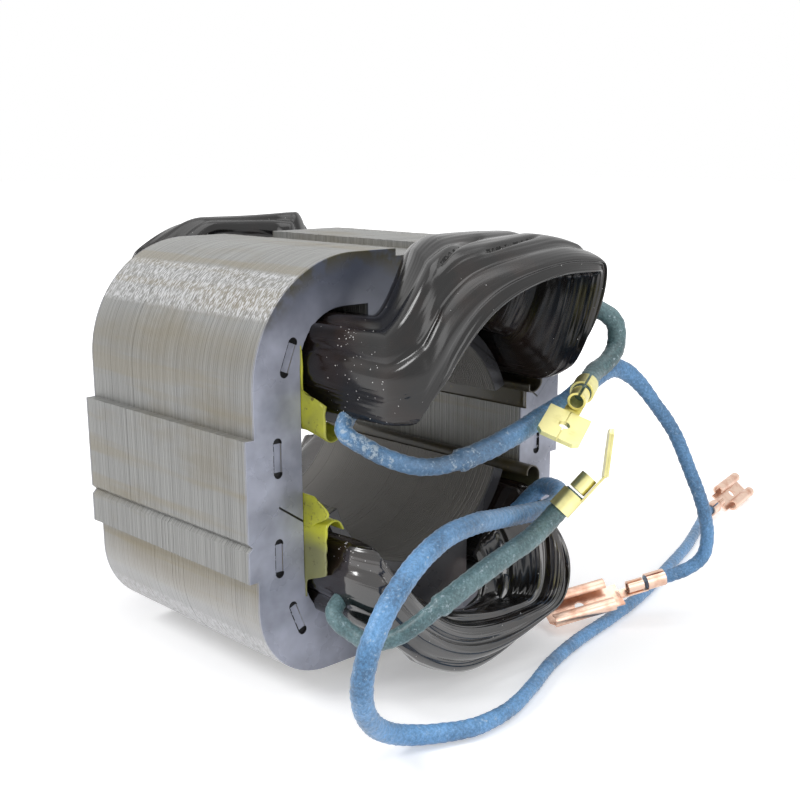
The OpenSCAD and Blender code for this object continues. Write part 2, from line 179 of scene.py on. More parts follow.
# Liners: node, up or down, left or right and length of the tail
LINERS = (("liner_upper_left", 1, 1, 0.0), ("liner_upper_right", 1, -1, 5.5),
          ("liner_lower_left", -1, 1, 5.5), ("liner_lower_right", -1, -1, 0.0))
# Place of the film on the slot wall, radius of its hook, mouth of the slot, height and length of the film
LINER_WALL, LINER_HOOK, LINER_MOUTH, LINER_HEIGHT, LINER_LENGTH = 26.12, 1.68, 8.64, 12, 59


def colour(name, description, default):
    """A colour setting in linear RGB."""
    return bpy.props.FloatVectorProperty(
        name=name, description=description, default=default, size=3, min=0.0, max=1.0, subtype="COLOR")


def length(name, description, default):
    """A length setting in metres."""
    return bpy.props.FloatProperty(name=name, description=description, default=default, min=0.0,
                                   unit="LENGTH", subtype="DISTANCE")


class StatorCoreSettings(bpy.types.PropertyGroup):
    """Sizes and colours of the lamination stack."""
    sheets: bpy.props.IntProperty(name="Sheets", description="Laminations in the stack", default=96, min=2)
    edge: length("Sheet edge", "Chamfer along the edges of each sheet", 0.07 * MM)
    drift: length("Sheet drift", "How far a sheet sits off its neighbours", 0.035 * MM)
    steel: colour("Steel", "Cut edges of the sheets", (0.27, 0.271, 0.263))
    face: colour("End face", "Varnished face of the end sheets", (0.325, 0.34, 0.41))
    stain: colour("Stain", "Varnish stains on the cut edges", (0.25, 0.215, 0.145))


class StatorWindingSettings(bpy.types.PropertyGroup):
    """Sizes and colours of the windings."""
    strands: bpy.props.IntProperty(
        name="Strands", description="Ridges of wire round a winding", default=60, min=8)
    ridge: length("Ridge", "Height of the wire ridges under the varnish", 0.06 * MM)
    groove: length("Groove", "Depth of the grooves between bundles of wire", 0.55 * MM)
    varnish: colour("Varnish", "Dark varnish over the wire", (0.0055, 0.005, 0.005))
    brown: colour("Thin varnish", "Where the wire shows brown through the varnish", (0.019, 0.0115, 0.0090))


class StatorLeadSettings(bpy.types.PropertyGroup):
    """Sizes and colours of the leads, liners and terminals."""
    diameter: length("Lead diameter", "Diameter over the sleeve", 3.2 * MM)
    thin: length("Thin diameter", "Diameter of the blue leads past their sleeves", 2.3 * MM)
    cuff: length("Cuff", "Step in the radius at the ragged end of an outer sleeve", 0.34 * MM)
    braid: length("Braid depth", "Depth of the sleeve's braid", 0.09 * MM)
    blue: colour("Blue sleeve", "Braided sleeve of the two long leads", (0.100, 0.260, 0.490))
    teal: colour("Teal sleeve", "Braided sleeve of the two short leads", (0.082, 0.160, 0.175))
    film: colour("Liner film", "Insulating film of the left-hand slots", (0.60, 0.61, 0.035))
    # Painted shade: the film of the right-hand slots is coloured near-black for the shade inside the slots
    shade_painted: colour("Soaked film", "Film of the right-hand slots, dark with varnish", (0.045, 0.036, 0.016))
    brass: colour("Brass", "Tabs of folded sheet", (0.90, 0.84, 0.40))
    copper: colour("Copper", "Terminals with rolled edges", (0.80, 0.58, 0.46))


class StatorStageSettings(bpy.types.PropertyGroup):
    """Camera and light."""
    lens: bpy.props.FloatProperty(
        name="Lens", description="Focal length", default=54.0, min=1.0, subtype="DISTANCE_CAMERA")
    key: bpy.props.FloatProperty(
        name="Key light", description="Power of the key light", default=3.6, min=0.0, subtype="POWER")
    ambient: bpy.props.FloatProperty(
        name="Ambient", description="Strength of the surroundings", default=0.38, min=0.0)


def scaled(tint, by):
    """A colour made lighter or darker."""
    return tuple(by * c for c in tint)


class Value:
    """One output of a shader node; arithmetic on it adds Math nodes."""

    def __init__(self, finish, socket):
        self.finish, self.socket = finish, socket

    def op(self, operation, *terms):
        """A Math node with these terms."""
        return self.finish.node("ShaderNodeMath", {"operation": operation}, dict(enumerate(terms)))

    def __add__(self, other):
        return self.op("ADD", self, other)

    def __radd__(self, other):
        return self.op("ADD", other, self)

    def __sub__(self, other):
        return self.op("SUBTRACT", self, other)

    def __rsub__(self, other):
        return self.op("SUBTRACT", other, self)

    def __mul__(self, other):
        return self.op("MULTIPLY", self, other)

    def __rmul__(self, other):
        return self.op("MULTIPLY", other, self)

    def __truediv__(self, other):
        return self.op("DIVIDE", self, other)

    def __pow__(self, other):
        return self.op("POWER", self, other)

    def __abs__(self):
        return self.op("ABSOLUTE", self)

    def __gt__(self, other):
        return self.op("GREATER_THAN", self, other)

    def __lt__(self, other):
        return self.op("LESS_THAN", self, other)


class Finish:
    """A material or world under construction, with one method for every node."""

    def __init__(self, name, store="materials"):
        self.owner = getattr(bpy.data, store).new(name)
        self.owner.use_nodes = True
        self.tree = self.owner.node_tree
        self.tree.nodes.clear()

    def node(self, kind, settings=None, inputs=None, out=0):
        """A node with its settings and inputs; returns one of its outputs."""
        n = self.tree.nodes.new(kind)
        for key, value in (settings or {}).items():
            if key == "stops":
                while len(n.color_ramp.elements) < len(value):
                    n.color_ramp.elements.new(0.5)
                for element, (at, shade) in zip(n.color_ramp.elements, value):
                    element.position = at
                    element.color = (*shade, 1) if isinstance(shade, tuple) else (shade, shade, shade, 1)
            else:
                setattr(n, key, value)
        for key, value in (inputs or {}).items():
            if isinstance(value, Value):
                self.tree.links.new(value.socket, n.inputs[key])
            else:
                n.inputs[key].default_value = value
        return Value(self, n.outputs[out]) if len(n.outputs) else None

    def place(self, scale=(1, 1, 1)):
        """Object coordinates in millimetres, stretched by scale."""
        at = self.node("ShaderNodeTexCoord", out="Object")
        return self.node("ShaderNodeMapping", {}, {"Vector": at, "Scale": tuple(1000 * s for s in scale)})

    def axes(self):
        """The three Object coordinates in millimetres."""
        return self.split(self.place())

    def split(self, vector):
        """The three parts of a vector."""
        parts = self.node("ShaderNodeSeparateXYZ", {}, {0: vector})
        return [Value(self, o) for o in parts.socket.node.outputs]

    def grain(self, scale, detail=3.0, stretch=(1, 1, 1), rough=0.55, at=None):
        """Noise between 0 and 1; scale is in features per millimetre."""
        return self.node("ShaderNodeTexNoise", {}, {
            "Vector": at or self.place(stretch), "Scale": scale,
            "Detail": detail, "Roughness": rough}, out="Fac")

    def ramp(self, value, *stops):
        """Value mapped through stops; a grey result is used as a number."""
        return self.node("ShaderNodeValToRGB", {"stops": stops}, {"Fac": value}, out="Color")

    def rise(self, value, top=1.0):
        """Value kept between 0 and 1, times the top."""
        return self.ramp(value, (0.0, 0.0), (1.0, top))

    def mix(self, amount, a, b):
        """Colour a turning into colour b."""
        rgba = [(*c, 1.0) if not isinstance(c, Value) else c for c in (a, b)]
        return self.node("ShaderNodeMix", {"data_type": "RGBA"}, {0: amount, 6: rgba[0], 7: rgba[1]}, out=2)

    def stretched(self, name, scale):
        """A vector kept on the mesh, stretched by scale."""
        at = self.node("ShaderNodeAttribute", {"attribute_name": name}, out="Vector")
        return self.node("ShaderNodeMapping", {}, {"Vector": at, "Scale": scale})

    def near(self, spot, radius):
        """1 at a place in millimetres, falling to 0 at the radius."""
        away = self.node("ShaderNodeVectorMath", {"operation": "DISTANCE"}, {
            0: self.place(), 1: spot}, out="Value")
        return self.rise(1 - away / radius)

    def bump(self, height, strength, distance):
        """Normal of a height; the distance is in metres."""
        return self.node("ShaderNodeBump", {}, {
            "Height": height, "Strength": strength, "Distance": distance}, out="Normal")

    def close(self, **sockets):
        """Principled surface with the given sockets; returns the material."""
        names = {k.replace("_", " "): v for k, v in sockets.items()}
        surface = self.node("ShaderNodeBsdfPrincipled", {}, {
            k: ((*v, 1.0) if isinstance(v, tuple) and len(v) == 3 and k.endswith("Color") else v)
            for k, v in names.items()}, out="BSDF")
        self.node("ShaderNodeOutputMaterial", {}, {"Surface": surface})
        return self.owner


class Growth:
    """A Geometry Nodes tree under construction, with named inputs."""

    def __init__(self, name, **inputs):
        self.tree = bpy.data.node_groups.new(name, "GeometryNodeTree")
        self.tree.interface.new_socket("Geometry", in_out="INPUT", socket_type="NodeSocketGeometry")
        self.tree.interface.new_socket("Geometry", in_out="OUTPUT", socket_type="NodeSocketGeometry")
        self.values = {}
        for key, value in inputs.items():
            kind = "NodeSocketInt" if isinstance(value, int) else "NodeSocketFloat"
            socket = self.tree.interface.new_socket(key, in_out="INPUT", socket_type=kind)
            self.values[socket.identifier] = value
        self.source = self.tree.nodes.new("NodeGroupInput")
        self.sink = self.tree.nodes.new("NodeGroupOutput")

    def given(self, name):
        """A named input of the tree."""
        return self.source.outputs[name]

    def node(self, kind, settings=None, inputs=None, out=0):
        """A node with its settings and inputs; returns one of its outputs."""
        n = self.tree.nodes.new(kind)
        for key, value in (settings or {}).items():
            setattr(n, key, value)
        for key, value in (inputs or {}).items():
            if isinstance(value, bpy.types.NodeSocket):
                self.tree.links.new(value, n.inputs[key])
            else:
                n.inputs[key].default_value = value
        return n.outputs[out]

    def math(self, operation, *terms):
        """A Math node with these terms."""
        return self.node("ShaderNodeMath", {"operation": operation}, dict(enumerate(terms)))

    def remap(self, value, start, end, low, high, kind="SMOOTHSTEP"):
        """Value turned from low to high between start and end."""
        return self.node("ShaderNodeMapRange", {"interpolation_type": kind}, {
            "Value": value, "From Min": start, "From Max": end, "To Min": low, "To Max": high})

    def capture(self, geometry_socket, value):
        """Geometry that remembers a number at each point, and that number."""
        n = self.tree.nodes.new("GeometryNodeCaptureAttribute")
        n.capture_items.new("FLOAT", "kept")
        self.tree.links.new(geometry_socket, n.inputs["Geometry"])
        self.tree.links.new(value, n.inputs["kept"])
        return n.outputs["Geometry"], n.outputs["kept"]

    def finish(self, geometry_socket, material):
        """Closes the tree with real geometry in one material."""
        real = self.node("GeometryNodeRealizeInstances", {}, {0: geometry_socket})
        dressed = self.node("GeometryNodeSetMaterial", {}, {"Geometry": real, "Material": material})
        self.tree.links.new(dressed, self.sink.inputs[0])

    def grow(self, obj, name):
        """Runs the tree on obj and returns the result as a plain mesh object in its place."""
        modifier = obj.modifiers.new("growth", "NODES")
        modifier.node_group = self.tree
        for identifier, value in self.values.items():
            modifier[identifier] = value
        mesh = bpy.data.meshes.new_from_object(obj.evaluated_get(bpy.context.evaluated_depsgraph_get()))
        obj.modifiers.remove(modifier)
        store = bpy.data.curves if obj.type == "CURVE" else bpy.data.meshes
        old = obj.data
        bpy.data.objects.remove(obj)
        store.remove(old)
        mesh.name = name
        look = next(m for m in mesh.materials if m)
        mesh.materials.clear()
        mesh.materials.append(look)
        mesh.polygons.foreach_set("material_index", [0] * len(mesh.polygons))
        return add_object(name, mesh)


def add_object(name, mesh):
    """A new object at the origin that shows a mesh."""
    obj = bpy.data.objects.new(name, mesh)
    bpy.context.scene.collection.objects.link(obj)
    return obj


def mesh_object(name, verts, faces, material=None, smooth=True, sharp=35):
    """An object from points in millimetres; edges over the sharp angle stay sharp."""
    mesh = bpy.data.meshes.new(name)
    mesh.from_pydata([Vector(v) * MM for v in verts], [], faces)
    obj = add_object(name, mesh)
    if material:
        mesh.materials.append(material)
    if smooth:
        soften(mesh, sharp)
    return obj


def soften(mesh, sharp):
    """Smooth shading with sharp edges above an angle in degrees."""
    bm = bmesh.new()
    bm.from_mesh(mesh)
    limit = math.radians(sharp)
    for f in bm.faces:
        f.smooth = True
    for e in bm.edges:
        e.smooth = not (e.is_manifold and e.calc_face_angle(0) > limit)
    bm.to_mesh(mesh)
    bm.free()


def settle(piece, slot, *nodes):
    """Puts a piece on the body in place of CAD nodes; its slot argument is not used."""
    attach(piece, BODY)
    if nodes:
        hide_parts(*nodes)


def end_marks(f):
    """Painted shade of the dimples, as dark pits at their ends and a dark line along their outer edges, and
    the dark crack of the joint, on both limbs of an end face.
    """
    _, y, z = f.axes()
    u = 0.0 - abs(y)
    v = z * (1.0 - 2.0 * (y > 0.0))
    chipped = f.grain(1.6, 2.0) > 0.42
    off_joint = abs(JOINT_NORMAL[0] * (u - JOINT[0]) + JOINT_NORMAL[1] * (v - JOINT[1]))
    marks = (off_joint < CRACK_HALF) * (u > JOINT[0])
    for at_u, at_v, tilt in DIMPLES:
        c, d = math.cos(math.radians(tilt)), math.sin(math.radians(tilt))
        across = c * (u - at_u) - d * (v - at_v)
        along = abs(d * (u - at_u) + c * (v - at_v))
        pit = (across * across + (along - DIMPLE_END) ** 2) ** 0.5 < PIT_RADIUS
        line = (abs(across - LINE_AT) < LINE_HALF) * (along < DIMPLE_END + 0.2) * chipped
        marks = marks + pit * (along > DIMPLE_END - 0.15) + line
    return marks.op("MINIMUM", marks, 1.0)


def core_finish(s):
    """Cut sheet edges with stains, and the blue-grey varnished end faces."""
    f = Finish("lamination_steel")
    x, y, z = f.axes()
    patch = f.grain(0.10, 4.0, (0.35, 1.0, 1.0))
    band = f.grain(0.22, 3.0, (0.05, 1.0, 1.0))
    face = abs(x) > STACK_END - FACE_SKIN
    radius = (y * y + z * z) ** 0.5
    bore = radius < BORE_RADIUS

    # Cut edges: sheets of slightly different tone, stained in bands, with a painted highlight along the
    # burred upper rounding of the outer corners and on the lower corners
    sheet = f.grain(1.0, 0.0, (2.03, 0.004, 0.004))
    burr = f.grain(2.4, 1.0, (1.6, 0.45, 0.45))
    slope = abs(z) - abs(y) + 2.0 * band
    corner = f.rise((abs(z) + abs(y) - HIGHLIGHT_FROM) / 4.0)
    highlight_band = corner * f.ramp((slope + 8.0) / 16.0, (0.05, 0.0), (0.12, 1.0), (0.86, 1.0), (0.94, 0.0))
    warm = f.ramp((slope + 21.0) / 14.0, (0.1, 0.0), (0.4, 1.0), (0.6, 1.0), (0.9, 0.0))
    tone = f.mix(f.ramp(sheet, (0.3, 0.0), (0.7, 1.0)), scaled(s.steel, 0.82), scaled(s.steel, 1.12))
    bands = f.ramp(band, (0.52, 0.0), (0.62, 0.4)) + warm * f.ramp(patch, (0.35, 0.1), (0.55, 0.45))
    banded = f.mix(bands, tone, tuple(s.stain))
    stained = f.mix(f.ramp(patch, (0.54, 0.0), (0.68, 0.4)), banded, scaled(s.stain, 0.85))
    # Painted highlight: the rounded outer corners and the lower corners of the cut edges are coloured lighter
    edge_highlights = highlight_band * f.ramp(burr, (0.46, 0.0), (0.60, 0.9)) + 0.5 * corner * f.rise((-18.0 - z) / 6.0)
    lighter = f.mix(edge_highlights, stained, (0.52, 0.52, 0.53))
    edges = f.mix(bore, lighter, f.mix(patch, (0.15, 0.145, 0.137), (0.27, 0.26, 0.245)))

    # End faces: cloudy varnish whose lighter clouds are partly painted highlights, painted shade darker
    # towards the top, olive stains round the slots and painted near-black shade on the poles
    cloud = f.grain(0.09, 4.0)
    # The lighter clouds are partly painted highlights on the varnished face, partly uneven varnish
    pale = f.mix(f.ramp(cloud, (0.36, 0.0), (0.66, 1.0)), scaled(s.face, 1.30), scaled(s.face, 0.62))
    # Painted shade: the end face turns dark blue towards the top, under the upper winding
    shaded = f.mix(f.rise((z - SHADE_FROM + y * 0.35) / 14.0, 0.85), pale, (0.060, 0.072, 0.105))
    off_slot = ((abs(y) - SLOT_MIDDLE[0]) ** 2 + (z - SLOT_MIDDLE[1]) ** 2) ** 0.5
    rim = (off_slot - CLEAN_RADIUS) / 3.0
    drips = f.ramp(f.grain(0.30, 3.0), (0.42, 0.0), (0.56, 0.9)) * f.rise(rim) * f.rise((z - 22.0) / 6.0)
    olive = f.mix(drips, shaded, (0.085, 0.076, 0.040))
    under = f.rise((20.0 - abs(y)) / 5.0) * (z < 0.0)
    # Painted shade: the pole faces, with more of them below the axis, are coloured near-black
    pole_shade = f.rise((SHADED_POLE_RADIUS + 5.0 * under - radius - 2.0 * cloud) / 3.0, 0.95)
    shade_painted = f.mix(pole_shade, olive, (0.018, 0.017, 0.018))
    near_end = abs(x) > STACK_END - DIMPLE_DEPTH - 0.05
    varnished = face + near_end * (abs(x) < STACK_END - DIMPLE_DEPTH + 0.05)
    plain = f.mix(varnished.op("MINIMUM", varnished, 1.0), edges, shade_painted)
    # Painted shade in the dimples and the dark crack of the joint, coloured near-black
    base = f.mix(end_marks(f) * near_end, plain, (0.008, 0.008, 0.009))

    rough = 0.42 + 0.16 * patch - 0.22 * face + 0.08 * bore
    groove = f.grain(1.0, 1.0, (0.02, 0.8, 0.8))
    height = groove * (1 - face) + f.grain(0.4, 3.0) * 0.6
    return f.close(Base_Color=base, Metallic=0.55 - 0.45 * face, Roughness=rough,
                   Normal=f.bump(height, 0.25, 0.06 * MM))


def varnish_finish(s):
    """Glossy dark varnish over strands, thinning to brown on the legs, with open pits along two grooves
    coloured near-black as painted shade.
    """
    f = Finish("winding_varnish")
    z = f.axes()[2]
    thin = f.grain(0.11, 3.0)
    streak = f.grain(0.45, 3.0, at=f.stretched("flow", (0.07, 1.0, 1.0)))
    strand = f.grain(1.5, 2.0, at=f.stretched("flow", (0.035, 1.0, 1.0)))
    leg = f.rise((26.0 - abs(z)) / 12.0, 0.12)
    base = f.mix(f.ramp(thin + leg, (0.52, 0.0), (0.74, 1.0)), tuple(s.varnish), tuple(s.brown))
    run, across, up = f.split(f.stretched("flow", (1, 1, 1)))
    angle = up.op("ARCTAN2", up, across)
    open_pits = 0.0
    for start, end, at, slope in PITS:
        off = abs(angle - at - slope * (run - start)) * FLOW_RADIUS
        open_pits = open_pits + (off < 0.55) * (run > start) * (run < end)
    open_pits = open_pits * (f.grain(1.0, 2.0) > 0.50) * (z > 0.0)
    # Painted shade: the open pits are coloured near-black
    base = f.mix(open_pits, base, (0.0005, 0.0005, 0.0005))
    rough = 0.14 + 0.16 * f.ramp(streak, (0.40, 0.0), (0.66, 1.0)) + 0.6 * open_pits
    pooled = f.rise((-2.0 - z) / 12.0, 0.65)
    height = streak + 0.35 * strand - 2.0 * open_pits
    return f.close(Base_Color=base, Roughness=rough, IOR=1.5, Normal=f.bump(height, 0.25, 0.3 * MM),
                   Coat_Weight=pooled, Coat_IOR=1.8, Coat_Roughness=0.08)


def sleeve_finish(name, tint):
    """Woven sleeve steeped in varnish, with pale fibres and stretches where more varnish darkens it."""
    f = Finish(name)
    tint = tuple(tint)
    fibre = f.grain(2.2, 4.0, rough=0.7)
    soak = f.grain(0.13, 2.0)
    light = tuple(min(1.0, 1.5 * c + 0.05) for c in tint)
    dark_weave = f.mix(f.ramp(fibre, (0.4, 0.0), (0.62, 1.0)), scaled(tint, 0.5), tint)
    pale_weave = f.mix(f.ramp(fibre, (0.40, 0.0), (0.66, 1.0)), tint, light)
    base = f.mix(f.ramp(soak, (0.38, 0.0), (0.62, 1.0)), dark_weave, pale_weave)
    worn = f.grain(1.1, 5.0, rough=0.75) + 0.13 * f.near(FRAYED, 10.0)
    for node, point in CUFFS.items():
        worn = worn + 0.10 * f.near(ROUTES[node][point], 4.0)
    # The sleeve's colour turns darker and greyer round this point
    base = f.mix(0.6 * f.near(GREYED, 24.0), base, (0.075, 0.105, 0.135))
    base = f.mix(f.ramp(worn, (0.60, 0.0), (0.68, 0.8)), base, (0.42, 0.50, 0.56))
    return f.close(Base_Color=base, Roughness=0.35 + 0.3 * soak, Normal=f.bump(fibre, 0.5, 0.12 * MM),
                   Coat_Weight=0.2, Coat_Roughness=0.3, Sheen_Weight=0.25, Sheen_Roughness=0.4)


def film_finish(name, film):
    """Film with brown varnish flecks, faded in patches, and greyer low down where painted shade darkens it.
    """
    f = Finish(name)
    fleck = f.grain(0.9, 4.0, rough=0.65)
    fade = f.grain(0.16, 3.0)
    tint = tuple(film)
    olive = tuple(0.45 * c + 0.03 for c in tint)
    height = f.axes()[2]
    body = f.mix(f.ramp(fade, (0.42, 0.0), (0.62, 0.6)), tint, olive)
    # Painted shade: below z = -9 the film turns a darker olive grey
    body = f.mix(f.rise((-9.0 - height) / 3.0, 0.85), body, (0.21, 0.21, 0.115))
    base = f.mix(f.ramp(fleck, (0.60, 0.0), (0.70, 0.85)), body, (0.11, 0.085, 0.02))
    return f.close(Base_Color=base, Roughness=0.28 + 0.25 * fade, Normal=f.bump(fleck, 0.2, 0.1 * MM),
                   IOR=1.5, Coat_Weight=0.3, Coat_Roughness=0.1)


def metal_finish(name, tint, dull):
    """Stamped sheet metal with handling marks and duller patches."""
    f = Finish(name)
    patch = f.grain(0.35, 4.0)
    scratch = f.grain(1.2, 2.0, (0.25, 1.0, 1.0))
    base = f.mix(f.ramp(patch, (0.45, 0.0), (0.7, 1.0)), tuple(tint), tuple(dull))
    rough = 0.22 + 0.25 * patch
    return f.close(Base_Color=base, Metallic=0.92, Roughness=rough, Normal=f.bump(scratch, 0.15, 0.05 * MM))


def dust_finish():
    """Pale dust and flakes of dried varnish."""
    f = Finish("dust")
    tone = f.grain(1.5, 2.0)
    return f.close(Base_Color=f.mix(tone, (0.75, 0.74, 0.72), (0.42, 0.41, 0.42)), Roughness=0.6 + 0.2 * tone)


def white_finish():
    """Floor that shows white to the camera and keeps the object's shadow."""
    f = Finish("white_floor")
    seen = f.node("ShaderNodeLightPath", out="Is Camera Ray")
    glossy = f.node("ShaderNodeLightPath", out="Is Glossy Ray")
    lit = f.node("ShaderNodeBsdfDiffuse", {}, {"Color": (0.86, 0.86, 0.87, 1)})
    lamp = seen * (1.0 - 0.72 * f.near((10, 0, FLOOR_Z), 420.0)) + glossy * 0.6
    glow = f.node("ShaderNodeEmission", {}, {"Color": (1, 1, 1, 1), "Strength": lamp})
    both = f.node("ShaderNodeAddShader", {}, {0: lit, 1: glow})
    f.node("ShaderNodeOutputMaterial", {}, {"Surface": both})
    return f.owner


class STATOR_OT_stage(bpy.types.Operator):
    """Camera, lights, floor and surroundings"""
    bl_idname = "stator.stage"
    bl_label = "Stage"

    def execute(self, context):
        scene = context.scene
        s = scene.stator_stage
        scene.view_settings.view_transform = "Standard"
        data = bpy.data.cameras.new("camera")
        data.lens, data.sensor_width = s.lens, SENSOR
        data.shift_x, data.shift_y = CAMERA_SHIFT
        data.clip_start = 0.01
        camera = bpy.data.objects.new("camera", data)
        forward = Vector(CAMERA_AIM).normalized()
        right = forward.cross(Vector((0, 0, 1))).normalized()
        up = right.cross(forward)
        turned = Matrix((right, up, -forward)).transposed().to_4x4()
        camera.matrix_world = Matrix.Translation(CAMERA_AT) @ turned
        scene.collection.objects.link(camera)
        scene.camera = camera

        for name, at, target, size, power in (
                ("key_light", (-0.25, -0.55, 0.62), (0, 0, 0), 0.32, s.key),
                ("top_light", (0.15, 0.1, 0.8), (0, 0, 0), 0.7, 0.8 * s.key),
                ("side_light", (0.75, -0.05, 0.28), (0.02, 0, 0), 0.45, 0.45 * s.key)):
            lamp = bpy.data.lights.new(name, "AREA")
            lamp.energy, lamp.size = power, size
            obj = bpy.data.objects.new(name, lamp)
            obj.location = at
            obj.rotation_euler = (Vector(target) - Vector(at)).to_track_quat("-Z", "Y").to_euler()
            scene.collection.objects.link(obj)

        corners = [(a * FLOOR_HALF, b * FLOOR_HALF, FLOOR_Z - FLOOR_GAP)
                   for a, b in ((-1, -1), (1, -1), (1, 1), (-1, 1))]
        floor = mesh_object("floor", corners, [(0, 1, 2, 3)], white_finish(), smooth=False)

        sky = Finish("surroundings", "worlds")
        scene.world = sky.owner
        shown = 0.0
        for ray in ("Is Camera Ray", "Is Glossy Ray", "Is Transmission Ray"):
            seen = sky.node("ShaderNodeLightPath", out=ray)
            shown = seen.op("MAXIMUM", seen, shown)
        light = sky.node("ShaderNodeBackground", {}, {
            "Color": (1, 1, 1, 1), "Strength": s.ambient + (1.0 - s.ambient) * shown})
        sky.node("ShaderNodeOutputWorld", {}, {"Surface": light})
        return {"FINISHED"}


def smooth_route(points):
    """Points close together along a smooth line through the route, in millimetres."""
    pts = [Vector(p) for p in points]
    pts = [2 * pts[0] - pts[1]] + pts + [2 * pts[-1] - pts[-2]]
    line = []
    for a, b, c, d in zip(pts, pts[1:], pts[2:], pts[3:]):
        n = max(2, round((c - b).length / ROUTE_STEP))
        for i in range(n):
            t = i / n
            line.append(0.5 * (2 * b + (c - a) * t + (2 * a - 5 * b + 4 * c - d) * t * t
                               + (3 * b - a - 3 * c + d) * t ** 3))
    line.append(pts[-2])
    return line


def sleeve_growth(material, diameter, end_diameter, braid, thins, cuff_at, cuff):
    """Tree that sweeps a braided sleeve along a curve, steps up at a cuff and thins towards the end."""
    g = Growth("Braided sleeve", Diameter=diameter, EndDiameter=end_diameter,
               ThinsFrom=thins[0], ThinsTo=thins[1], Depth=braid, Pitch=5.0 * MM,
               CuffAt=cuff_at, CuffStep=cuff)
    line, along = g.capture(g.given("Geometry"), g.node("GeometryNodeSplineParameter", out="Length"))
    circle = g.node("GeometryNodeCurvePrimitiveCircle", {}, {
        "Resolution": 32, "Radius": g.math("MULTIPLY", g.given("Diameter"), 0.5)})
    ring, around = g.capture(circle, g.node("GeometryNodeSplineParameter", out="Factor"))
    tube = g.node("GeometryNodeCurveToMesh", {}, {"Curve": line, "Profile Curve": ring, "Fill Caps": True})

    # Braid: two sets of threads that cross, uneven with wear
    turn = g.math("MULTIPLY", around, 2 * math.pi * 8)
    run = g.math("MULTIPLY", g.math("DIVIDE", along, g.given("Pitch")), 2 * math.pi * 4)
    weave = g.math("MULTIPLY", g.math("SINE", g.math("ADD", turn, run)),
                   g.math("SINE", g.math("SUBTRACT", turn, run)))
    wear = g.math("SUBTRACT", g.node("ShaderNodeTexNoise", {}, {"Scale": 420.0, "Detail": 2.0}), 0.5)
    braided = g.math("MULTIPLY", g.math("ADD", weave, g.math("MULTIPLY", wear, 2.6)), g.given("Depth"))

    # Thin end, and the cuff: a step up to a flared rim that settles behind it
    less = g.math("MULTIPLY", g.math("SUBTRACT", g.given("EndDiameter"), g.given("Diameter")), 0.5)
    thinner = g.remap(along, g.given("ThinsFrom"), g.given("ThinsTo"), 0.0, less)
    ragged = g.math("ADD", along, g.math("MULTIPLY", wear, 3.0 * MM))
    rim = g.math("ADD", g.given("CuffAt"), 0.3 * MM)
    below, flare, back = (g.math("MULTIPLY", g.given("CuffStep"), share) for share in (-0.75, 0.7, -0.45))
    step = g.math("ADD", g.remap(ragged, g.given("CuffAt"), rim, below, flare, "LINEAR"),
                  g.remap(ragged, rim, g.math("ADD", rim, 2.5 * MM), 0.0, back))

    push = g.node("ShaderNodeVectorMath", {"operation": "SCALE"}, {
        0: g.node("GeometryNodeInputNormal"), "Scale": g.math("ADD", g.math("ADD", thinner, step), braided)})
    g.finish(g.node("GeometryNodeSetPosition", {}, {"Geometry": tube, "Offset": push}), material)
    return g


def route_curve(name, line):
    """A curve object of one open spline through points in millimetres."""
    curve = bpy.data.curves.new(name, "CURVE")
    curve.dimensions = "3D"
    spline = curve.splines.new("POLY")
    spline.points.add(len(line) - 1)
    for point, at in zip(spline.points, line):
        point.co = (*(at * MM), 1)
    holder = bpy.data.objects.new(name, curve)
    bpy.context.scene.collection.objects.link(holder)
    return holder


def route_length(points):
    """Length of a line of points."""
    return sum((b - a).length for a, b in zip(points, points[1:]))


class STATOR_OT_leads(bpy.types.Operator):
    """The four sleeved leads along their routes"""
    bl_idname = "stator.leads"
    bl_label = "Leads"

    def execute(self, context):
        s = context.scene.stator_leads
        looks = {"blue": sleeve_finish("blue_sleeve", s.blue), "teal": sleeve_finish("teal_sleeve", s.teal)}
        for node, route in ROUTES.items():
            hue = node.rsplit("_", 1)[1]
            line = smooth_route([ROOTS[node]] + route)
            thins = [self.reach(node, round(k * (len(route) - 1))) for k in SLEEVE_END]
            end = s.thin if hue == "blue" else s.diameter
            cuff = s.cuff if node in CUFFS else 0.0
            cuff_at = self.reach(node, CUFFS.get(node, 0))
            growth = sleeve_growth(looks[hue], s.diameter, end, s.braid, thins, cuff_at, cuff)
            tube = growth.grow(route_curve(node + "_line", line), node + "_sleeve")
            for p in tube.data.polygons:
                p.use_smooth = True
            settle(tube, hue + "_sleeve", node)
            path = [tuple(p * MM) for p in line[::2] + ([line[-1]] if len(line) % 2 == 0 else [])]
            route_length(line) * MM
        return {"FINISHED"}

    def reach(self, node, point):
        """Length in metres along a lead up to a point of its route."""
        return route_length(smooth_route([ROOTS[node]] + ROUTES[node][:point + 1])) * MM


def sheet_section(path, thickness):
    """Closed outline of a sheet of that thickness bent along a 2D path."""
    pts = [Vector(p) for p in path]
    left, right = [], []
    for i, p in enumerate(pts):
        before = (p - pts[i - 1]).normalized() if i else None
        after = (pts[i + 1] - p).normalized() if i + 1 < len(pts) else None
        d = (before or after) + (after or before)
        d.normalize()
        n = Vector((-d.y, d.x))
        stretch = 1 / max(0.5, n.dot(Vector((-(after or before).y, (after or before).x))))
        left.append(p + n * thickness / 2 * stretch)
        right.append(p - n * thickness / 2 * stretch)
    return left + right[::-1]


def arc(cx, cy, r, start, end, n):
    """Points of an arc, angles in degrees."""
    return [(cx + r * math.cos(math.radians(start + (end - start) * i / n)),
             cy + r * math.sin(math.radians(start + (end - start) * i / n))) for i in range(n + 1)]


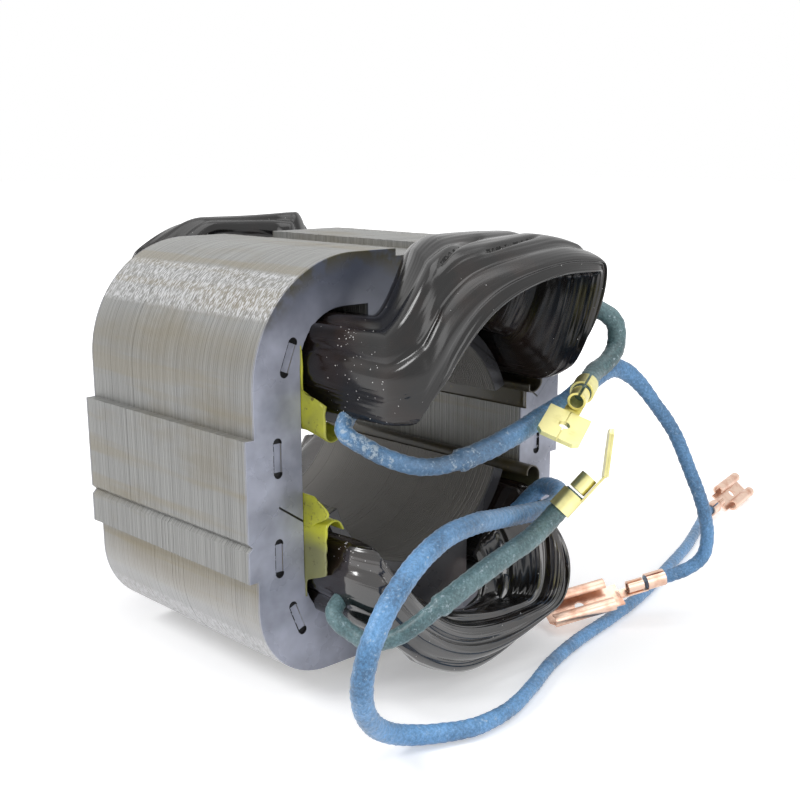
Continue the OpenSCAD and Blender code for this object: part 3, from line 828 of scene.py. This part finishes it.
def add_prism(bm, outline, x0, x1, matrix):
    """A closed prism of a sheet outline in (y, z) from x0 to x1; the outline is a strip of point pairs."""
    rings = [[bm.verts.new(matrix @ Vector((x, p[0], p[1]))) for p in outline] for x in (x0, x1)]
    n = len(outline)
    for i in range(n):
        j = (i + 1) % n
        bm.faces.new((rings[0][i], rings[0][j], rings[1][j], rings[1][i]))
    half = n // 2
    for ring, flip in ((rings[0], True), (rings[1], False)):
        for i in range(half - 1):
            quad = (ring[i], ring[i + 1], ring[n - 2 - i], ring[n - 1 - i])
            bm.faces.new(quad[::-1] if flip else quad)


def add_plate(bm, outline, holes, z0, z1, matrix):
    """A flat plate of an outline with holes, in (x, y), between two heights."""
    loops = [outline] + list(holes)
    flat = [p for loop in loops for p in loop]
    low, high = ([bm.verts.new(matrix @ Vector((x, y, z))) for x, y in flat] for z in (z0, z1))
    for tri in geometry.tessellate_polygon([[(x, y, 0) for x, y in loop] for loop in loops]):
        bm.faces.new([high[i] for i in tri])
        bm.faces.new([low[i] for i in reversed(tri)])
    start = 0
    for loop in loops:
        n = len(loop)
        for i in range(n):
            a, b = start + i, start + (i + 1) % n
            bm.faces.new((low[a], low[b], high[b], high[a]))
        start += n


class STATOR_OT_terminals(bpy.types.Operator):
    """Tabs and receptacles crimped on the ends of the leads"""
    bl_idname = "stator.terminals"
    bl_label = "Terminals"

    def execute(self, context):
        s = context.scene.stator_leads
        looks = {"brass": metal_finish("brass_sheet", s.brass, (0.74, 0.68, 0.30)),
                 "copper": metal_finish("copper_sheet", s.copper, (0.60, 0.34, 0.24))}
        t, wing, barrel, neck = 0.4, 4.0, 3.5, 2.2
        for lead, (node, kind, bent, roll) in TERMINALS.items():
            metal = node.rsplit("_", 1)[1]
            wire = (s.diameter if kind == "tab" else s.thin) / MM
            bore, grip = wire + 0.1, 0.85 * wire
            sole = -bore / 2 - t
            route = [Vector(p) for p in ROUTES[lead]]
            d = (route[-1] - route[-2]).normalized()
            place = (Matrix.Translation(route[-1]) @ Matrix.Rotation(math.atan2(d.y, d.x), 4, "Z")
                     @ Matrix.Rotation(-math.asin(d.z), 4, "Y") @ Matrix.Rotation(math.radians(roll), 4, "X"))
            bm = bmesh.new()
            add_prism(bm, sheet_section(arc(0, 0, bore / 2 + t / 2, 96, 444, 28), t), -wing, -0.3, place)
            add_prism(bm, sheet_section(arc(0, 0, grip / 2, 100, 440, 20), t), 0.4, barrel, place)
            strip = [(y, sole + t / 2) for y in (-grip / 2, 0, grip / 2)]
            add_prism(bm, sheet_section(strip, t), -0.5, barrel + neck, place)
            seat = (place @ Matrix.Translation((barrel + neck, 0, sole))
                    @ Matrix.Rotation(math.radians(-bent), 4, "Y"))
            if kind == "tab":
                self.tab(bm, seat, t)
            else:
                self.receptacle(bm, seat, t)
            bmesh.ops.recalc_face_normals(bm, faces=bm.faces)
            for v in bm.verts:
                v.co *= MM
            mesh = bpy.data.meshes.new(node + "_dressed")
            bm.to_mesh(mesh)
            bm.free()
            mesh.materials.append(looks[metal])
            soften(mesh, 35)
            piece = add_object(node + "_dressed", mesh)
            round_edges = piece.modifiers.new("round_edges", "BEVEL")
            round_edges.width, round_edges.segments, round_edges.limit_method = 0.08 * MM, 2, "ANGLE"
            round_edges.angle_limit = math.radians(40)
            settle(piece, metal + "_sheet", node)
        return {"FINISHED"}

    def tab(self, bm, seat, t):
        """A tab of folded sheet: a full plate below and two halves that meet in a seam above."""
        width, size, tip, hole, seam = 7.2, 8.0, 0.9, 0.95, 0.09
        outline = [(-t, -width / 2), (size - tip - t, -width / 2), (size - t, -width / 2 + tip),
                   (size - t, width / 2 - tip), (size - tip - t, width / 2), (-t, width / 2)]
        middle = size / 2 - t
        add_plate(bm, outline, [arc(middle, 0, hole, 0, 345, 23)], 0, t - 0.02, seat)
        for side in (1, -1):
            notch = [(middle + hole * x, side * max(seam, hole * y)) for x, y in arc(0, 0, 1, 180, 0, 12)]
            rim = [(size - t, side * seam), (size - t, side * (width / 2 - tip)),
                   (size - tip - t, side * width / 2), (-t, side * width / 2)]
            add_plate(bm, [(-t, side * seam)] + notch + rim, [], t, 2 * t, seat)

    def receptacle(self, bm, seat, t):
        """A receptacle whose long edges are rolled over."""
        width, size, high, hole, cut = 7.6, 12.0, 2.5, 0.95, 0.7
        r, lip = high / 2, width / 5
        edge, front = width / 2 - r, size + lip / 2
        seat = seat @ Matrix.Translation((lip, 0, 0))
        for side in (1, -1):
            curl = [(side * (edge - 0.02), t / 2)]
            curl += [(side * y, z) for y, z in arc(edge, r, r - t / 2, -90, 165, 18)]
            add_prism(bm, sheet_section(curl, t), 0, size, seat)
        outline = [(-1.5 * lip, -edge), (front - cut, -edge), (front, -edge + cut),
                   (front, edge - cut), (front - cut, edge), (-1.5 * lip, edge)]
        add_plate(bm, outline, [arc(size / 2, 0, hole, 0, 345, 23)], 0.0, t, seat)


def end_loops(node):
    """Outlines (y, z) in millimetres of a core half's end face: the outer one first, then the dimples."""
    bm = bmesh.new()
    bm.from_mesh(frame["nodes"][node].data)
    bmesh.ops.remove_doubles(bm, verts=bm.verts, dist=1e-6)
    high = max(v.co.x for v in bm.verts)
    flat = {f for f in bm.faces if f.normal.x > 0.99 and abs(f.calc_center_median().x - high) < 1e-6}
    rim = {}
    for f in flat:
        for l in f.loops:
            if len([g for g in l.edge.link_faces if g in flat]) == 1:
                rim[l.vert] = l.link_loop_next.vert
    loops = []
    while rim:
        first, at = next(iter(rim.items()))
        loop = [first]
        del rim[first]
        while at is not first:
            loop.append(at)
            at = rim.pop(at)
        loops.append([(v.co.y / MM, v.co.z / MM) for v in loop])
    bm.free()
    outline, *dimples = sorted(loops, key=lambda loop: -abs(area(loop)))
    return [round_slots(outline)] + dimples


def round_slots(outline):
    """The outline with the outer corners of its two slots turned at a larger radius."""
    slot = [p for p in outline if abs(p[0]) < SLOT_WALL + 0.1 and abs(p[1]) < SLOT_ROOF + 0.1]
    corner = [max(abs(p[k]) for p in slot) for k in (0, 1)]
    inner = [p[0] ** 2 > (corner[0] - SLOT_CORNER) ** 2 and p[1] ** 2 > (corner[1] - SLOT_CORNER) ** 2
             and abs(p[0]) < corner[0] + 0.01 and abs(p[1]) < corner[1] + 0.01 for p in outline]
    start = next(i for i in range(len(outline)) if not inner[i])
    turned = []
    for i in range(start, start + len(outline)):
        p, on = outline[i % len(outline)], inner[i % len(outline)]
        if not on:
            turned.append(p)
        elif not inner[i % len(outline) - 1]:
            cy, cz = (math.copysign(c - SLOT_CORNER, v) for c, v in zip(corner, p))
            bend = [(cy + math.copysign(y, cy), cz + math.copysign(z, cz))
                    for y, z in arc(0, 0, SLOT_CORNER, 0, 90, 10)]
            near = Vector(turned[-1])
            if (Vector(bend[0]) - near).length >= (Vector(bend[-1]) - near).length:
                bend.reverse()
            turned += bend
    return turned


def area(loop):
    """Signed area of a closed outline."""
    return 0.5 * sum(a[0] * b[1] - b[0] * a[1] for a, b in zip(loop, loop[1:] + loop[:1]))


def inset(loop, depth):
    """The outline moved inwards by a small depth."""
    turn = 1 if area(loop) > 0 else -1
    moved = []
    n = len(loop)
    for i in range(n):
        p, a, b = Vector(loop[i]), Vector(loop[i - 1]), Vector(loop[(i + 1) % n])
        e, f = (p - a).normalized(), (b - p).normalized()
        normal = Vector((-e.y - f.y, e.x + f.x)) * turn
        scale = max(0.4, normal.length / 2)
        moved.append(tuple(p + normal.normalized() * depth / scale))
    return moved


def sheet_mesh(name, outline, thickness, edge, holes=(), depth=0.0):
    """One chamfered lamination along X from 0 to its thickness; its holes are pressed in or out on top."""
    verts, faces = [], []

    def ring(points, x):
        verts.extend((x, y, z) for y, z in points)
        return list(range(len(verts) - len(points), len(verts)))

    def wall(a, b):
        n = len(a)
        faces.extend((a[i], a[(i + 1) % n], b[(i + 1) % n], b[i]) for i in range(n))

    def fill(*loops):
        index = [i for loop in loops for i in loop]
        flat = [[(verts[i][1], verts[i][2], 0) for i in loop] for loop in loops]
        faces.extend(tuple(index[i] for i in tri) for tri in geometry.tessellate_polygon(flat))

    small = inset(outline, edge)
    rings = [ring(small, 0), ring(outline, edge), ring(outline, thickness - edge), ring(small, thickness)]
    for a, b in zip(rings, rings[1:]):
        wall(a, b)
    fill(rings[0])
    tops = [ring(hole, thickness) for hole in holes]
    fill(rings[3], *tops)
    for hole, top in zip(holes, tops):
        low = ring(inset(hole, 0.12), thickness + depth)
        wall(top, low)
        fill(low)
    mesh = bpy.data.meshes.new(name)
    mesh.from_pydata([Vector(v) * MM for v in verts], [], faces)
    bm = bmesh.new()
    bm.from_mesh(mesh)
    bmesh.ops.recalc_face_normals(bm, faces=bm.faces)
    bm.to_mesh(mesh)
    bm.free()
    return mesh


def stack_growth(s, material, pitch, seed):
    """Tree that stacks one sheet along X, each a little off its neighbours."""
    g = Growth("Lamination stack", Sheets=s.sheets - 2, Pitch=pitch, Drift=s.drift, Seed=seed)
    step = g.node("ShaderNodeCombineXYZ", {}, {"X": g.given("Pitch")})
    start = g.node("ShaderNodeCombineXYZ", {}, {"X": -STACK_END * MM + pitch})
    points = g.node("GeometryNodeMeshLine", {"mode": "OFFSET"}, {
        "Count": g.given("Sheets"), "Start Location": start, "Offset": step})
    low = g.math("MULTIPLY", g.given("Drift"), -1.0)
    across, up = (g.node("FunctionNodeRandomValue", {"data_type": "FLOAT"}, {
        2: low, 3: g.given("Drift"), "Seed": g.math("ADD", g.given("Seed"), float(k))}, out=1)
        for k in (0, 1))
    off = g.node("ShaderNodeCombineXYZ", {}, {"Y": across, "Z": up})
    spread = g.node("GeometryNodeSetPosition", {}, {"Geometry": points, "Offset": off})
    stack = g.node("GeometryNodeInstanceOnPoints", {}, {"Points": spread, "Instance": g.given("Geometry")})
    g.finish(stack, material)
    return g


class STATOR_OT_core(bpy.types.Operator):
    """The two halves of the lamination stack"""
    bl_idname = "stator.core"
    bl_label = "Core"

    def execute(self, context):
        s = context.scene.stator_core
        look = core_finish(s)
        pitch = 2 * STACK_END * MM / s.sheets
        for seed, node in enumerate(("core_upper", "core_lower")):
            outline, *dimples = end_loops(node)
            edge = s.edge / MM
            thick = pitch / MM
            plain = add_object(node + "_sheet", sheet_mesh(node + "_sheet", outline, thick, edge))
            stack = stack_growth(s, look, pitch, 10 * seed).grow(plain, node + "_stack")
            near = sheet_mesh("near", outline, thick, edge, dimples, -DIMPLE_DEPTH)
            near.transform(Matrix.Translation((STACK_END * MM - pitch, 0, 0)))
            far = sheet_mesh("far", outline, thick, edge, dimples, DIMPLE_DEPTH)
            mirror = Matrix.Scale(-1, 4, (1, 0, 0))
            far.transform(Matrix.Translation((-STACK_END * MM + pitch, 0, 0)) @ mirror)
            far.flip_normals()
            bm = bmesh.new()
            for mesh in (stack.data, near, far):
                bm.from_mesh(mesh)
            bm.to_mesh(stack.data)
            bm.free()
            bpy.data.meshes.remove(near)
            bpy.data.meshes.remove(far)
            soften(stack.data, 25)
            settle(stack, "lamination_steel", node)
        return {"FINISHED"}


def plan(s, half, reach, r):
    """Plan of one side of an end turn from the stack to mid crossing."""
    if s < LEG:
        return (reach - r) * s / LEG, half
    if s < LEG + BEND:
        a = math.radians(90 * (s - LEG) / BEND)
        return reach - r + r * math.sin(a), half - r * (1 - math.cos(a))
    return reach, (half - r) * (1 - (s - LEG - BEND) / (1 - LEG - BEND))


def ease(k):
    """Smooth step from 0 to 1."""
    k = min(1.0, max(0.0, k))
    return k * k * (3 - 2 * k)


def swell(t, at):
    """Rises from 0 to 1 between the first two stations and falls back between the last two."""
    return ease((t - at[0]) / (at[1] - at[0])) * (1 - ease((t - at[2]) / (at[3] - at[2])))


def winding_ring(t, end, turn, angles, straight=None):
    """One ring of a winding at station t of an end turn, or at the place straight along X in the slot."""
    gap, first, last, corner, lean, arch, roundness, rises, lifts = turn
    s, side = min(t, 2 - t), -end if t < 1 else end
    rise, lift = swell(t, rises), swell(t, lifts)
    a_in = plan(s, SLOT_IN, gap, gap - INNER_LEG)
    a_out = plan(s, SLOT_OUT, first + (last - first) * t / 2, corner)
    power = SLOT_POWER + (roundness - SLOT_POWER) * rise
    c, n = np.cos(angles), np.sin(angles)
    dip = 1 - GROOVE_DEPTH / 16 * (1 - np.cos(GROOVES * angles))
    u = dip * np.sign(c) * np.abs(c) ** (2 / power)
    v = dip * np.sign(n) * np.abs(n) ** (2 / power)
    x = a_in[0] + (a_out[0] - a_in[0]) * (u + 1) / 2
    y = a_in[1] + (a_out[1] - a_in[1]) * (u + 1) / 2
    under = np.maximum(SLOT_LOW, np.sqrt(np.maximum(0, UNDER_R ** 2 - y ** 2)))
    low = under + (np.maximum(under, arch) - under) * lift
    top = SLOT_TOP + (CROWN - SLOT_TOP) * rise
    z = low + (top - low) * (v + 1) / 2
    px = end * (STACK_END + x - lean * rise * v) if straight is None else np.full_like(y, straight)
    return np.stack([px, side * y, z], axis=1)


def winding_points(front):
    """Rings of a winding above the axis all the way round, and their angles."""
    angles = np.linspace(0, 2 * math.pi, AROUND, endpoint=False)
    inside = np.linspace(1, -1, LEG_RINGS)[1:-1] * STACK_END
    rings = []
    for end, turn, count in ((1, front, FRONT_RINGS), (-1, BACK_TURN, BACK_RINGS)):
        rings += [winding_ring(t, end, turn, angles) for t in np.linspace(0, 2, count)]
        rings += [winding_ring(2, end, turn, angles, straight=end * x) for x in inside]
    return np.array(rings), angles


def outward(points, centre):
    """Normals of a winding's surface that point away from its middle line."""
    tangent = np.roll(points, -1, axis=0) - np.roll(points, 1, axis=0)
    across = np.roll(points, -1, axis=1) - np.roll(points, 1, axis=1)
    normal = np.cross(across, tangent)
    normal /= np.linalg.norm(normal, axis=2, keepdims=True) + 1e-9
    return normal * np.sign(np.sum(normal * (points - centre), axis=2).mean())


def relief(s, seed, points, angles, run, flow):
    """How far each point of a winding moves out: strands, grooves and pits under an uneven varnish."""
    push = np.zeros(points.shape[:2])
    for i, at_run in enumerate(run):
        drift = noise.noise(Vector((at_run * 0.03, 0, 7 * seed)))
        for k, angle in enumerate(angles):
            _, across, up = flow[i, k]

            def patchy(along, fine, offset):
                return noise.noise(Vector((at_run * along, across * fine, up * fine + offset)))

            a = angle + 0.25 * drift + 0.12 * patchy(0.05, 0.1, 5 * seed)
            cover = 0.1 + 1.7 * patchy(0.035, 0.16, 3 * seed)
            inside = ease(-0.3 - 1.6 * math.sin(angle)) * ease((abs(points[i, k, 0]) - STACK_END - 6) / 6)
            ridge = abs(math.cos(s.strands / 2 * a))
            groove = (0.5 - 0.5 * math.cos(GROOVES * a)) ** 6 * (0.6 + 1.2 * patchy(0.04, 0.2, 9 + seed))
            for start, end, at, slope in PITS if seed == 0 else ():
                off = FLOW_RADIUS * (angle - at - slope * (at_run - start)) / 0.8
                ends = ease((at_run - start + 2) / 4) * ease((end + 2 - at_run) / 4)
                groove += 1.6 * math.exp(-off ** 2) * ends
            broad = patchy(0.05, 0.15, 20 + seed)
            strands = s.ridge / MM * (ridge - 0.7) * min(1.0, max(0.05, cover, inside))
            push[i, k] = strands + 0.35 * broad - 0.15 - s.groove / MM * max(0.0, groove)
    return push


class STATOR_OT_windings(bpy.types.Operator):
    """The two saddle windings set in varnish"""
    bl_idname = "stator.windings"
    bl_label = "Windings"

    def execute(self, context):
        s = context.scene.stator_windings
        look = varnish_finish(s)
        for seed, (node, front) in enumerate((("coil_upper", UPPER_TURN), ("coil_lower", LOWER_TURN))):
            points, angles = winding_points(front)
            m = len(points)
            centre = points.mean(axis=1, keepdims=True)
            run = np.concatenate([[0], np.cumsum(np.linalg.norm(np.diff(centre[:, 0], axis=0), axis=1))])
            circle = FLOW_RADIUS * np.array([np.cos(angles), np.sin(angles)])
            flow = np.stack(np.broadcast_arrays(run[:, None], *circle[:, None]), axis=2)
            push = relief(s, seed, points, angles, run, flow)
            points = points + outward(points, centre) * push[:, :, None]
            if node == "coil_lower":
                points = points * np.array([1, 1, -1])
            verts = points.reshape(-1, 3)
            faces = [(i * AROUND + k, i * AROUND + (k + 1) % AROUND,
                      (i + 1) % m * AROUND + (k + 1) % AROUND, (i + 1) % m * AROUND + k)
                     for i in range(m) for k in range(AROUND)]
            piece = mesh_object(node + "_varnished", verts, faces, look, smooth=False)
            kept = piece.data.attributes.new("flow", "FLOAT_VECTOR", "POINT")
            kept.data.foreach_set("vector", flow.reshape(-1))
            bm = bmesh.new()
            bm.from_mesh(piece.data)
            bmesh.ops.recalc_face_normals(bm, faces=bm.faces)
            for f in bm.faces:
                f.smooth = True
            bm.to_mesh(piece.data)
            bm.free()
            settle(piece, "winding_varnish", node)
        return {"FINISHED"}


class STATOR_OT_liners(bpy.types.Operator):
    """Insulating film in the four slots"""
    bl_idname = "stator.liners"
    bl_label = "Slot liners"

    def execute(self, context):
        s = context.scene.stator_leads
        # The right-hand slots take the near-black film, painted shade for their insides
        looks = {"left": film_finish("liner_film", s.film), "right": film_finish("shaded_film", s.shade_painted)}
        bent = arc(LINER_HOOK - LINER_WALL, LINER_MOUTH, LINER_HOOK, 180, 360, 12)
        path = [(-LINER_WALL, LINER_MOUTH + LINER_HEIGHT - 0.6 * i) for i in range(20)] + bent
        xs = [-LINER_LENGTH / 2 + 0.5 * i for i in range(2 * LINER_LENGTH + 1)]
        for seed, (node, turn, flip, tail) in enumerate(LINERS):
            verts, faces = [], []
            self.sheet(verts, faces, path, xs, node, flip, turn, seed)
            if tail:
                hanging = [(-LINER_WALL, LINER_MOUTH - tail * i / 12) for i in range(13)]
                self.sheet(verts, faces, hanging, xs, node + "_tail", flip, turn, seed + 5)
            piece = mesh_object(node + "_film", verts, faces, looks[node.rsplit("_", 1)[1]], sharp=60)
            thick = piece.modifiers.new("film", "SOLIDIFY")
            thick.thickness, thick.offset = 0.22 * MM, 0.0
            settle(piece, "liner_film", node)
        return {"FINISHED"}

    def sheet(self, verts, faces, path, xs, node, flip, turn, seed):
        """Adds a strip of film along a path in (y, z), hand-cut where it stands out of the stack."""
        n, start = len(path), len(verts)
        for x in xs:
            out = max(0.0, (abs(x) - STACK_END) / 5.5)
            for y, z in path:
                wob = noise.noise(Vector((x * 0.25, z * 0.2, 9.0 * seed)))
                reach = 1 - 0.10 * out * (1 + noise.noise(Vector((z * 0.5, 3 * seed, math.copysign(2, x)))))
                drop = 0.0
                if node == "liner_upper_left":
                    reach *= 1.15 - 1.1 * ease((z - 13.2) / 0.6)
                    drop = -1.0 * out
                elif node == "liner_lower_left":
                    reach *= 1.1 - 1.05 * ease((z - 15.5) / 2.5)
                elif node == "liner_lower_left_tail":
                    reach *= 1.25 - 0.9 * ease(abs(z - 5.5) / 3.2)
                elif node.endswith("tail"):
                    reach *= 0.3
                verts.append((math.copysign(STACK_END + (abs(x) - STACK_END) * reach, x) if out else x,
                              flip * (y + 0.25 * out * wob), turn * (z + drop + 0.2 * out * wob)))
        for i in range(len(xs) - 1):
            for a in range(start + i * n, start + (i + 1) * n - 1):
                faces.append((a, a + 1, a + n + 1, a + n))


def dust_growth(material, seed, density, size):
    """Tree that scatters small flakes over a surface, thicker round the places of dried varnish."""
    g = Growth("Dust", Density=density, Size=size, Seed=seed)
    thicker = 1.0
    for spot, radius in RESIDUE:
        away = g.node("ShaderNodeVectorMath", {"operation": "DISTANCE"}, {
            0: g.node("GeometryNodeInputPosition"), 1: scaled(spot, MM)}, out="Value")
        near = g.math("MAXIMUM", g.math("SUBTRACT", 1.0, g.math("DIVIDE", away, radius * MM)), 0.0)
        thicker = g.math("ADD", thicker, g.math("MULTIPLY", near, 220.0 / radius))
    spread = g.math("MULTIPLY", thicker, g.given("Density"))
    spots = g.node("GeometryNodeDistributePointsOnFaces", {}, {
        "Mesh": g.given("Geometry"), "Density": spread, "Seed": g.given("Seed")})
    flake = g.node("GeometryNodeMeshIcoSphere", {}, {"Radius": g.given("Size"), "Subdivisions": 1})
    grow = g.node("FunctionNodeRandomValue", {"data_type": "FLOAT"}, {
        2: 0.3, 3: 1.3, "Seed": g.given("Seed")}, out=1)
    turn = g.node("FunctionNodeRandomValue", {"data_type": "FLOAT_VECTOR"}, {
        0: (0, 0, 0), 1: (6.3, 6.3, 6.3), "Seed": g.given("Seed")}, out=0)
    flakes = g.node("GeometryNodeInstanceOnPoints", {}, {
        "Points": spots, "Instance": flake, "Rotation": turn, "Scale": grow})
    g.finish(flakes, material)
    return g


class STATOR_OT_dust(bpy.types.Operator):
    """Pale flakes on the windings"""
    bl_idname = "stator.dust"
    bl_label = "Dust"

    def execute(self, context):
        look = dust_finish()
        for seed, name in enumerate(("coil_upper", "coil_lower")):
            source = bpy.data.objects[name + "_varnished"]
            bm = bmesh.new()
            bm.from_mesh(source.data)
            hidden = [f for f in bm.faces if abs(f.calc_center_median().x) < (STACK_END + 2) * MM]
            bmesh.ops.delete(bm, geom=hidden, context="FACES")
            mesh = bpy.data.meshes.new(name + "_ends")
            bm.to_mesh(mesh)
            bm.free()
            growth = dust_growth(look, 4 + seed, 20000.0, 0.10 * MM)
            flakes = growth.grow(add_object(name + "_ends", mesh), name + "_dust")
            settle(flakes, "winding_varnish")
        return {"FINISHED"}


PIECES = (STATOR_OT_stage, STATOR_OT_terminals, STATOR_OT_leads, STATOR_OT_core, STATOR_OT_windings,
          STATOR_OT_liners, STATOR_OT_dust)
SETTINGS = {"stator_core": StatorCoreSettings, "stator_windings": StatorWindingSettings,
            "stator_leads": StatorLeadSettings, "stator_stage": StatorStageSettings}


class STATOR_PT_panel(bpy.types.Panel):
    """Lists the steps that dress the stator"""
    bl_label = "Stator"
    bl_idname = "STATOR_PT_panel"
    bl_space_type = "VIEW_3D"
    bl_region_type = "UI"
    bl_category = "Stator"

    def draw(self, context):
        for step in PIECES:
            self.layout.operator(step.bl_idname)
        for name, settings in SETTINGS.items():
            for key in settings.__annotations__:
                self.layout.prop(getattr(context.scene, name), key)


CLASSES = (*SETTINGS.values(), *PIECES, STATOR_PT_panel)


def register():
    for cls in CLASSES:
        bpy.utils.register_class(cls)
    for name, group in SETTINGS.items():
        setattr(bpy.types.Scene, name, bpy.props.PointerProperty(type=group))


def unregister():
    for name in SETTINGS:
        delattr(bpy.types.Scene, name)
    for cls in reversed(CLASSES):
        bpy.utils.unregister_class(cls)


def main():
    register()
    bpy.ops.stator.stage()
    bpy.ops.stator.terminals()
    bpy.ops.stator.leads()
    bpy.ops.stator.core()
    bpy.ops.stator.windings()
    bpy.ops.stator.liners()
    bpy.ops.stator.dust()


if __name__ == "__main__":
    main()
